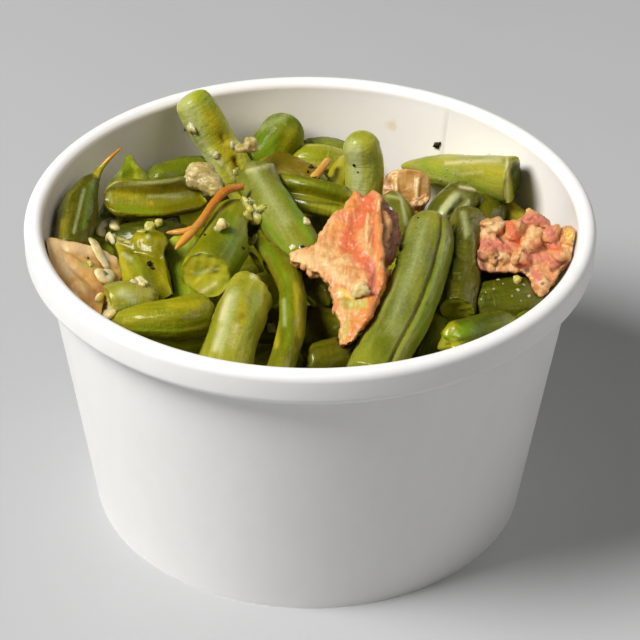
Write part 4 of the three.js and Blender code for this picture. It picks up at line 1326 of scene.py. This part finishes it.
            dark=[((162, 288), (168, 296), 6, 0.5)],
            pale=[((113, 237), (130, 243), 2, 0.5, 0.4)],
            grey=[((124, 254), (131, 262), 3.5, 0.7, 0.3), ((149, 240), (149, 240), 3.5, 0.9, 0.4)],
            relief=[((134, 252), (160, 258), 3, 0, -0.5), ((136, 262), (148, 292), 8, 0, 0.9)],
            brown=[((136, 250), (160, 256), 3, 0.3)],
        ),
    ),
    "bean_front_left_long": dict(
        look="olive", gain=(0.92, 0.87, 0.45), width=7.4, thickness=7, start="tip", end="snapped", slack=0.05,
        spine=[(-33.6, -20.4, 45.6), (-27, -21.6, 46.8), (-21.4, -21.6, 47.2), (-16.4, -18.4, 46.4)],
        marks=dict(
            ripe=[((170, 306), (196, 304), 6, 0.6)],
            leaf=[((140, 330), (180, 330), 8, 0.5)],
        ),
    ),
    "pod_split_centre": dict(
        look="green", gain=(0.8, 0.72, 0.2), width=6.6, thickness=5, end="snapped", facing=(0, -0.9, 0.5),
        seeds=0, slack=0.03, sides=72, spine=[(-5.6, 19.8, 46.8), (0.1, 17.4, 47.2), (7, 16.2, 46)],
        outline=[
            (-1, 0), (-0.85, 0.5), (-0.5, 0.72), (-0.16, 0.5), (0, 0.14), (0.14, 0.3), (0.45, 0.6),
            (0.8, 0.45), (1, 0), (0.8, -0.6), (0, -1), (-0.8, -0.6),
        ],
        marks=dict(
            grey=[((285, 192), (288, 202), 4, 0.8)],
            # the dark line is painted shade in the crease between the two lobes
            dark=[((292, 200), (340, 205), 2, 0.7)],
            ripe=[((300, 190), (330, 196), 4, 0.4)],
        ),
    ),
    "bean_right_upright": dict(
        look="dark", gain=(0.7, 0.56, 0.4), shine=1.3, width=6.4, thickness=5.8, end="cut", facing=toViewer,
        crease=0.22, hollow=0.1,
        spine=[(27, 6.2, 48.8), (25.6, -6.4, 48.2), (24.4, -16.2, 46)],
        marks=dict(
            grey=[((463, 214), (467, 234), 4, 0.7, 0.3), ((472, 226), (474, 262), 2.2, 0.4, 0.3)],
            # dark strokes are painted shade, in a dented crease and down the lower part of the bean
            dark=[
                ((460, 250), (456, 276), 4, 0.5), ((459, 222), (460, 244), 1.6, 0.5, -0.3),
                ((450, 240), (446, 290), 6, 0.6),
            ],
            relief=[
                ((456, 236), (470, 240), 2, 0, -0.3), ((454, 256), (468, 260), 2, 0, -0.25),
                ((452, 278), (466, 281), 2, 0, -0.25),
            ],
            ripe=[((446, 312), (468, 318), 6, 0.7)],
        ),
    ),
    "bean_right_upper": dict(
        look="dark", gain=(0.87, 0.77, 0.85), shine=1.3, width=6.8, thickness=6, start="cut", hollow=0.1,
        crease=0.22,
        spine=[(26.9, 16, 48.9), (24.2, 11.8, 48.3), (21.2, 6.8, 45.6)],
        marks=dict(
            grey=[((442, 212), (456, 196), 4, 1, 0.3), ((458, 214), (468, 202), 3, 0.9, 0.3)],
            # dark strokes are painted shade, one down a dented crease
            dark=[((450, 214), (462, 199), 1.8, 0.9, -0.6), ((452, 186), (474, 194), 3, 0.5)],
            # pale strokes are painted highlights on the top and the lit rim of the cut
            pale=[((460, 187), (477, 190), 1.8, 0.8), ((444, 208), (452, 199), 4, 0.6)],
        ),
    ),
    "bean_right_behind": dict(
        look="dark", gain=(0.72, 0.6, 0.3), width=6, thickness=5.6, crease=0.2,
        spine=[(31.4, 16.8, 45.8), (30.2, 11.5, 45.2), (28, 4.4, 42.4)],
    ),
    "bean_back_end": dict(
        look="green", gain=(0.62, 0.66, 0.25), shine=0.25, width=8.2, thickness=7.6, end="cut",
        facing=(0, -0.8, 0.6), slack=0.03, seeds=0.01, crease=0.02,
        spine=[(-5.6, 38.4, 47.4), (-8.2, 36.6, 44.4), (-12, 34, 41.4)],
        marks=dict(
            leaf=[((262, 140), (270, 160), 14, 0.6)],
            ripe=[((290, 132), (282, 158), 7, 0.6)],
            grey=[((262, 128), (284, 116), 6, 0.5)],
        ),
    ),
    "bean_left_stub": dict(
        look="dark", gain=(1.9, 1.85, 0.8), width=8.4, thickness=6.4, facing=(0, -1, 0.6),
        scales=[(0, 0.14), (0.04, 0.24), (0.09, 0.42), (0.15, 0.72), (0.22, 0.95), (0.32, 1), (1, 0.95)],
        spine=[(-32.3, 22.4, 52), (-31.8, 18.6, 48.4), (-33, 12, 44.8), (-35.4, 6, 43.4), (-36.4, 0, 42.6)],
    ),
    "bean_behind_ham": dict(
        look="dark", gain=(1.2, 1, 1), width=6, thickness=5.6, start="cut", end="cut", facing=toViewer,
        hollow=0.06,
        spine=[(13.3, 16.8, 46.4), (15.2, 13.6, 45.4), (16.6, 10.6, 41.6)],
        marks=dict(
            # the dark stroke is painted shade behind the ham flake
            dark=[((390, 206), (393, 226), 9, 0.8)],
            grey=[((388, 196), (400, 198), 2, 0.9), ((401, 199), (406, 224), 2, 0.9)],
        ),
    ),
    "bean_flat_back": dict(
        look="olive", gain=(0.6, 0.42, 0.6), width=7, thickness=4.4, start="snapped", end="snapped",
        facing=toViewer, tear=1.4,
        spine=[(-7.8, 32.2, 45), (-3.6, 27.8, 45.2), (1.8, 24.6, 44)],
    ),
    "bean_back_middle": dict(
        look="olive", gain=(1.25, 1.25, 1.6), width=6, thickness=5, start="snapped", end="snapped", tear=1.4,
        spine=[(-2.8, 36.2, 44), (1.5, 35.4, 44.2), (6.4, 35.8, 43)],
        marks=dict(
            ripe=[((300, 170), (316, 176), 5, 0.7)],
            orange=[((294, 162), (300, 175), 4, 0.6)],
        ),
    ),
    "bean_back_small": dict(
        look="dark", width=3.8, thickness=3.8, start="snapped",
        spine=[(-1, 40, 43.6), (2.8, 40.4, 43.8), (7, 39.4, 43.2)],
    ),
    "bean_back_dark": dict(
        look="olive", gain=(1.35, 1.2, 1.1), width=6, thickness=5.6,
        spine=[(6.4, 32, 43.8), (4.8, 27.6, 42.6), (2, 20.6, 40.6)],
    ),
    "bean_back_left": dict(
        look="dark", gain=(1, 1.05, 0.6), width=6.4, thickness=6,
        spine=[(-26.6, 27.6, 44.2), (-22.9, 29.6, 44.3), (-18, 30.6, 43.8)],
    ),
    "bean_left_behind": dict(
        look="dark", gain=(0.35, 0.35, 0.1), width=6.6, thickness=6, end="cut",
        spine=[(-32.6, 6.2, 44.4), (-27.7, 5.6, 45.6), (-22.4, 9.2, 45)],
        marks=dict(
            ripe=[((140, 238), (158, 246), 8, 0.7)],
            grey=[((148, 240), (148, 240), 4, 0.8)],
            dark=[((112, 230), (130, 236), 8, 0.7)],
        ),
    ),
    "bean_left_low": dict(
        look="olive", gain=(1, 1.2, 1.6), width=8, thickness=7, facing=toViewer,
        spine=[(-22.2, 3.8, 43.6), (-21.5, -3.6, 43.2), (-21, -9, 41.6)],
        marks=dict(
            leaf=[((172, 256), (178, 292), 9, 0.7)],
        ),
    ),
    "bean_right_front": dict(
        look="dark", gain=(0.6, 0.56, 0.2), width=8.4, thickness=7.8, start="cut", slack=0.03,
        spine=[(27.6, -12.6, 44.4), (33, -11.8, 44.6), (37.6, -10, 44.2)],
    ),
    "bean_front_right_cut": dict(
        look="dark", gain=(0.8, 0.84, 0.12), width=7, thickness=6.6, start="snapped", tear=1.2,
        spine=[(22.6, -27.2, 46.6), (27, -23.8, 46), (31.4, -19.4, 44.2)],
        marks=dict(
            leaf=[((442, 336), (470, 328), 9, 0.6)],
            ripe=[((440, 332), (452, 326), 6, 0.8)],
            pale=[((450, 330), (456, 334), 3, 0.5)],
        ),
    ),
    "bean_front_low": dict(
        look="dark", gain=(0.6, 0.5, 0.06), width=7, thickness=6.6,
        spine=[(-2.6, -30, 43.6), (2.4, -29, 44.4), (9, -25.6, 43.6)],
    ),
    "bean_right_shadow": dict(
        look="under", gain=(1.8, 1.4, 2), width=5.6, thickness=5.2,
        spine=[(31, 23.6, 42), (34.4, 19.6, 42.6), (37, 14.6, 43)],
    ),
    "bean_front_left_under": dict(
        look="under", gain=(6, 6, 6), width=7, thickness=6.4,
        spine=[(-27, -20.6, 40.2), (-19.5, -19.2, 40.6), (-12.4, -15.6, 40.6)],
    ),
    "bean_under_ham": dict(
        look="dark", gain=(1.6, 1.2, 0.3), width=7, thickness=5.6, end="snapped",
        spine=[(-4.6, 2.4, 43.4), (0.5, -3, 43.6), (4.8, -8.6, 42.4)],
    ),
    "bean_under_front": dict(
        look="under", gain=(1, 0.9, 1), width=7.4, thickness=6.4, end="cut",
        spine=[(-7.6, -13.6, 41), (2, -14.4, 41.2), (12, -17.4, 41.4)],
    ),
    "bean_under_right": dict(
        look="under", gain=(2, 2, 3), width=7.4, thickness=6.4,
        spine=[(17.6, -2.4, 42.4), (22.4, -16, 41.2), (20.8, -25.4, 40.8)],
    ),
    "bean_under_pile": dict(
        look="under", width=7.4, thickness=6.8, start="cut",
        spine=[(28.6, -1.6, 43), (34, -2.2, 43.4), (38.6, 0.6, 43.6)],
    ),
    "bean_wall_front_left": dict(
        look="dark", width=7.4, thickness=6.8, start="cut", end="cut",
        spine=[(-32, -26, 43.4), (-23.5, -33, 44), (-13, -38.6, 43.2)],
    ),
    "bean_wall_front": dict(
        look="dark", width=7, thickness=6.6, start="cut", end="cut",
        spine=[(-8, -39.4, 43.4), (2, -40, 43.8), (13, -38.8, 42.8)],
    ),
    "bean_wall_front_right": dict(
        look="dark", width=7.6, thickness=7,
        spine=[(20, -35.2, 42.6), (29, -28.6, 42.8), (36.4, -17.6, 42.8)],
    ),
    "bean_under_left": dict(
        look="under", width=7.4, thickness=6.6,
        spine=[(-35.6, -6.4, 42.2), (-31.4, -11.4, 41.8), (-30.2, -19, 41)],
    ),
}


def strands(bean, seed, above):
    # the bean itself and any side shoot, each pressed in by what lies on it
    shoot = dict(facing=bean.get("facing", usual["facing"]), seeds=0, ring=0.25, sides=24)
    rows = [bean, {**shoot, **bean["branch"]}] if "branch" in bean else [bean]
    for row in rows:
        grid = Grid(row, seed)
        seed += 50
        found, rise = strokes(grid.places, bean.get("marks", {}), markTones)
        skin = 1 - grid.face[:, None]
        raised = grid.places + unit(grid.places - grid.centre[:, None]) * (rise * skin)[..., None]
        reach = np.linalg.norm(grid.skinPlace[..., 1:], axis=-1) / (row["width"] / 2)
        wide = np.ones(reach.shape)
        yield keepInCup(pressIn(raised, grid.centre, above)), grid.faces(), {
            "skinPlace": grid.skinPlace,
            "face": (1 - skin) * wide,
            "hollow": (1 - skin) * np.clip(1.6 - 2.6 * reach, 0, 1) * min(1, grid.bean["hollow"] * 3),
            "seam": grid.rim * skin,
            "inner": grid.inner * wide,
            **found,
        }


def showBean(node, places, faces, marks):
    # a bean in its own skin, with only the strokes that it carries
    bean = beans[node]
    kinds = [kind for kind in markTones if kind in bean.get("marks", {})]
    gains = bean.get("gain", (1, 1, 1))
    look = {key: [c * gain for c, gain in zip(tone, gains)] for key, tone in looks[bean["look"]].items()}
    shine = 0.1 if bean["look"] == "under" else bean.get("shine", 0.9)
    marks = {key: values for key, values in marks.items() if key in kinds or key not in markTones}
    standIn(node, places, faces, paintBean(pieceName(node) + "Skin", look, kinds, shine), marks)


def tornPod(bean, seed, above):
    # a flattened piece of pod with a torn edge
    places, normals, faces = fuse([slab(bean)], bean["voxel"], bean["smooth"])
    found, rise = strokes(places, bean["marks"], markTones)
    shown = np.clip(3 * normals @ toViewer, 0, 1)
    drawn = grainOf(places, bean)
    wave = 0.5 * cloud(places, 0.16, seed) + 0.1 * cloud(drawn * (0.3, 0.9, 0.9), 1, seed + 2)
    places = places + normals * (shown * rise + wave)[:, None]
    marks = {key: shown * values for key, values in found.items()}
    marks |= {key: np.zeros(len(places)) for key in ("face", "hollow", "seam", "inner")}
    return keepInCup(sinkUnder(places, bean["normal"], above)), faces, {"skinPlace": drawn, **marks}


def cookBeans():
    for seed, (node, bean) in enumerate(beans.items()):
        shape = tornPod(bean, seed, stack) if "depth" in bean else joined(strands(bean, seed, stack))
        showBean(node, *shape)


cookBeans()

print("beans underneath")

hidden = dict(
    bean=dict(width=9.2, thickness=7.4, start="cut", end="cut", sides=22, ring=1.4), pitch=9.4, spacing=9.8,
    layerPitch=7.7, layers=4, gap=1.5, longestHalf=21, firstTurn=20, turnPerLayer=65, seed=100,
    seedPerLayer=20,
)


def hiddenLayer(index):
    # straight rows across the cup, each layer turned on the last
    floor = cup["recess"] + cup["skirt"] + cup["clearance"]
    z = floor + hidden["bean"]["thickness"] / 2 + index * hidden["layerPitch"]
    reach = innerWall(z) - cup["clearance"]
    turn = math.radians(hidden["firstTurn"] + hidden["turnPerLayer"] * index)
    span = 2 * reach - hidden["spacing"]
    gaps = math.ceil(span / hidden["pitch"])
    for row in range(gaps + 1):
        side = span * (row / gaps - 0.5)
        halfChord = math.sqrt(reach**2 - side**2) - hidden["spacing"] / 4
        count = 2 if halfChord > hidden["longestHalf"] else 1
        length = (2 * halfChord - (count - 1) * hidden["gap"]) / count
        for k in range(count):
            start = -halfChord + k * (length + hidden["gap"])
            spine = [
                (a * math.cos(turn) - side * math.sin(turn), a * math.sin(turn) + side * math.cos(turn), z)
                for a in (start, start + length / 2, start + length)
            ]
            yield {**hidden["bean"], "spine": spine}


def layHiddenBeans():
    material = paintBean("hiddenBeanSkin", looks["olive"], (), 0.1)
    for index in reversed(range(hidden["layers"])):
        topmost = index == hidden["layers"] - 1
        above = stack if topmost else []
        first = hidden["seed"] + hidden["seedPerLayer"] * index
        rows = [next(strands(bean, seed, above)) for seed, bean in enumerate(hiddenLayer(index), first)]
        places, faces, marks = joined(rows)
        marks = {key: values for key, values in marks.items() if key not in markTones}
        standIn(f"hidden_beans_layer_{index + 1}", places, faces, material, marks, presses=topmost)


layHiddenBeans()

print("crumbs, pepper and onion curls")

# each kind is scattered where the camera sees it, resting on whatever is there: across, down and size
scraps = {
    "creamCrumbs": dict(
        pale=(0.94, 0.72, 0.37), deep=(0.68, 0.46, 0.18), slot="garlic_crumb_large", flat=0.4, sunk=0.36,
        gloss=0.25,
        places=[
            (192, 128, 1.6), (216, 155, 1.4), (232, 146, 1.1), (250, 205, 1.5), (221, 225, 1.9),
            (217, 229, 1.1), (272, 328, 1.3), (141, 283, 2), (134, 282, 1.3), (106, 304, 1.5),
            # the tiny specks on the beans at the right are pale dots standing in for wet glints, painted
            # highlights
            (301, 248, 0.8), (306, 222, 1.5), (249, 200, 0.9), (498, 280, 0.5), (503, 284, 0.35),
            (518, 290, 0.6), (524, 285, 0.4), (529, 296, 0.55), (512, 296, 0.35), (360, 291, 2.1),
            (494, 289, 0.35), (486, 292, 0.3), (521, 301, 0.35), (446, 176, 0.4), (441, 180, 0.35),
            (447, 169, 0.4), (455, 174, 0.45), (464, 163, 0.35), (471, 161, 0.4), (433, 173, 0.35),
        ],
    ),
    "greenScraps": dict(
        pale=(0.6, 0.5, 0.13), deep=(0.4, 0.36, 0.05), slot="bean_centre", flat=0.5, sunk=0.4, gloss=0.25,
        places=[
            (250, 210, 3), (257, 217, 2.6), (246, 203, 2.2), (262, 210, 1.8), (254, 205, 2.2),
            (258, 211, 2.2), (247, 216, 1.8), (517, 281, 1.8), (150, 228, 1.8), (158, 224, 1.5),
            (142, 232, 1.3), (254, 240, 1.8), (236, 172, 1.4), (322, 178, 1.2), (90, 264, 1.2),
        ],
    ),
    "pepperSpecks": dict(
        pale=(0.05, 0.035, 0.02), deep=(0.01, 0.008, 0.006), slot="ham_flake", flat=0.6, sunk=0.3, gloss=0.03,
        places=[
            (149, 264, 0.8), (152, 268, 0.7), (354, 165, 0.5), (358, 172, 0.35), (437, 145, 0.9),
            (440, 143, 0.6), (185, 129, 0.6), (311, 167, 0.7), (308, 172, 0.6), (302, 247, 0.7),
            (243, 248, 0.5), (250, 201, 0.4), (418, 218, 0.3), (88, 258, 0.4), (128, 222, 0.4),
            (205, 235, 0.4), (416, 228, 0.25),
        ],
    ),
}
# thin pale strips, each following what it lies on
curls = dict(
    pale=(0.9, 0.7, 0.38), deep=(0.7, 0.5, 0.2), slot="onion_piece_left",
    strip=dict(seeds=0, ring=0.25, sides=20, slack=0.5, pebble=0.12, crease=0), height=0.25, seed=200,
    lines=[
        dict(along=[(91, 241), (96, 250), (102, 260), (107, 269)], width=2.7,
             scales=[(0, 0.5), (0.05, 0.9), (0.3, 1), (0.7, 0.7), (0.95, 0.5), (1, 0.3)]),
        dict(along=[(100, 275), (104, 280), (108, 275)], width=2.3),
        dict(along=[(101, 234), (105, 225), (112, 222), (116, 229)], width=2),
        dict(along=[(107, 240), (111, 236), (114, 241)], width=1.2),
        dict(along=[(99, 298), (104, 308), (111, 316)], width=2.2),
    ],
)


def seatOf(spot):
    # where the line of sight first meets something, and which way that faces
    origin, ray = Vector(eye), Vector(sightLine(spot))
    hits = [carrier.tree.ray_cast(origin, ray) for carrier in stack + vessel]
    hit, normal, _, _ = min((found for found in hits if found[0]), key=lambda found: found[3])
    return np.array(hit), np.array(normal if normal.dot(ray) < 0 else -normal)


def lay(name, parts, kind, gloss=0.25):
    places, faces, _ = joined(parts)
    material = paintGarlic(name + "Flesh", kind, gloss)
    makePiece(name, keepInCup(places, 0.02), faces, material)


def scatter(name, scrap, draw):
    parts = []
    for across, down, size in scrap["places"]:
        seat, facing = seatOf((across, down))
        places, faces = chunk((0, 0, 0), size * draw.uniform(0.7, 1.25, 3) / 2, draw.uniform(0, 50), 0.8, 0.5)
        turn = np.array(Vector(facing).to_track_quat("Z", "Y").to_matrix())
        middle = seat + facing * size * (0.5 - scrap["sunk"]) * scrap["flat"]
        parts.append((places * (1, 1, scrap["flat"] * 1.6) @ turn.T + middle, faces))
    lay(name, parts, scrap, scrap["gloss"])


def layCurls():
    rows = []
    for seed, line in enumerate(curls["lines"], curls["seed"]):
        seats = [seatOf(spot) for spot in line["along"]]
        strip = {
            **curls["strip"], **line, "thickness": 0.5 * line["width"],
            "spine": [seat + normal * curls["height"] for seat, normal in seats],
            "facing": sum(normal for _, normal in seats),
        }
        grid = Grid(strip, seed)
        rows.append((grid.places, grid.faces()))
    lay("onionCurls", rows, curls)


for seed, (name, scrap) in enumerate(scraps.items(), 5):
    scatter(name, scrap, np.random.default_rng(seed))
layCurls()
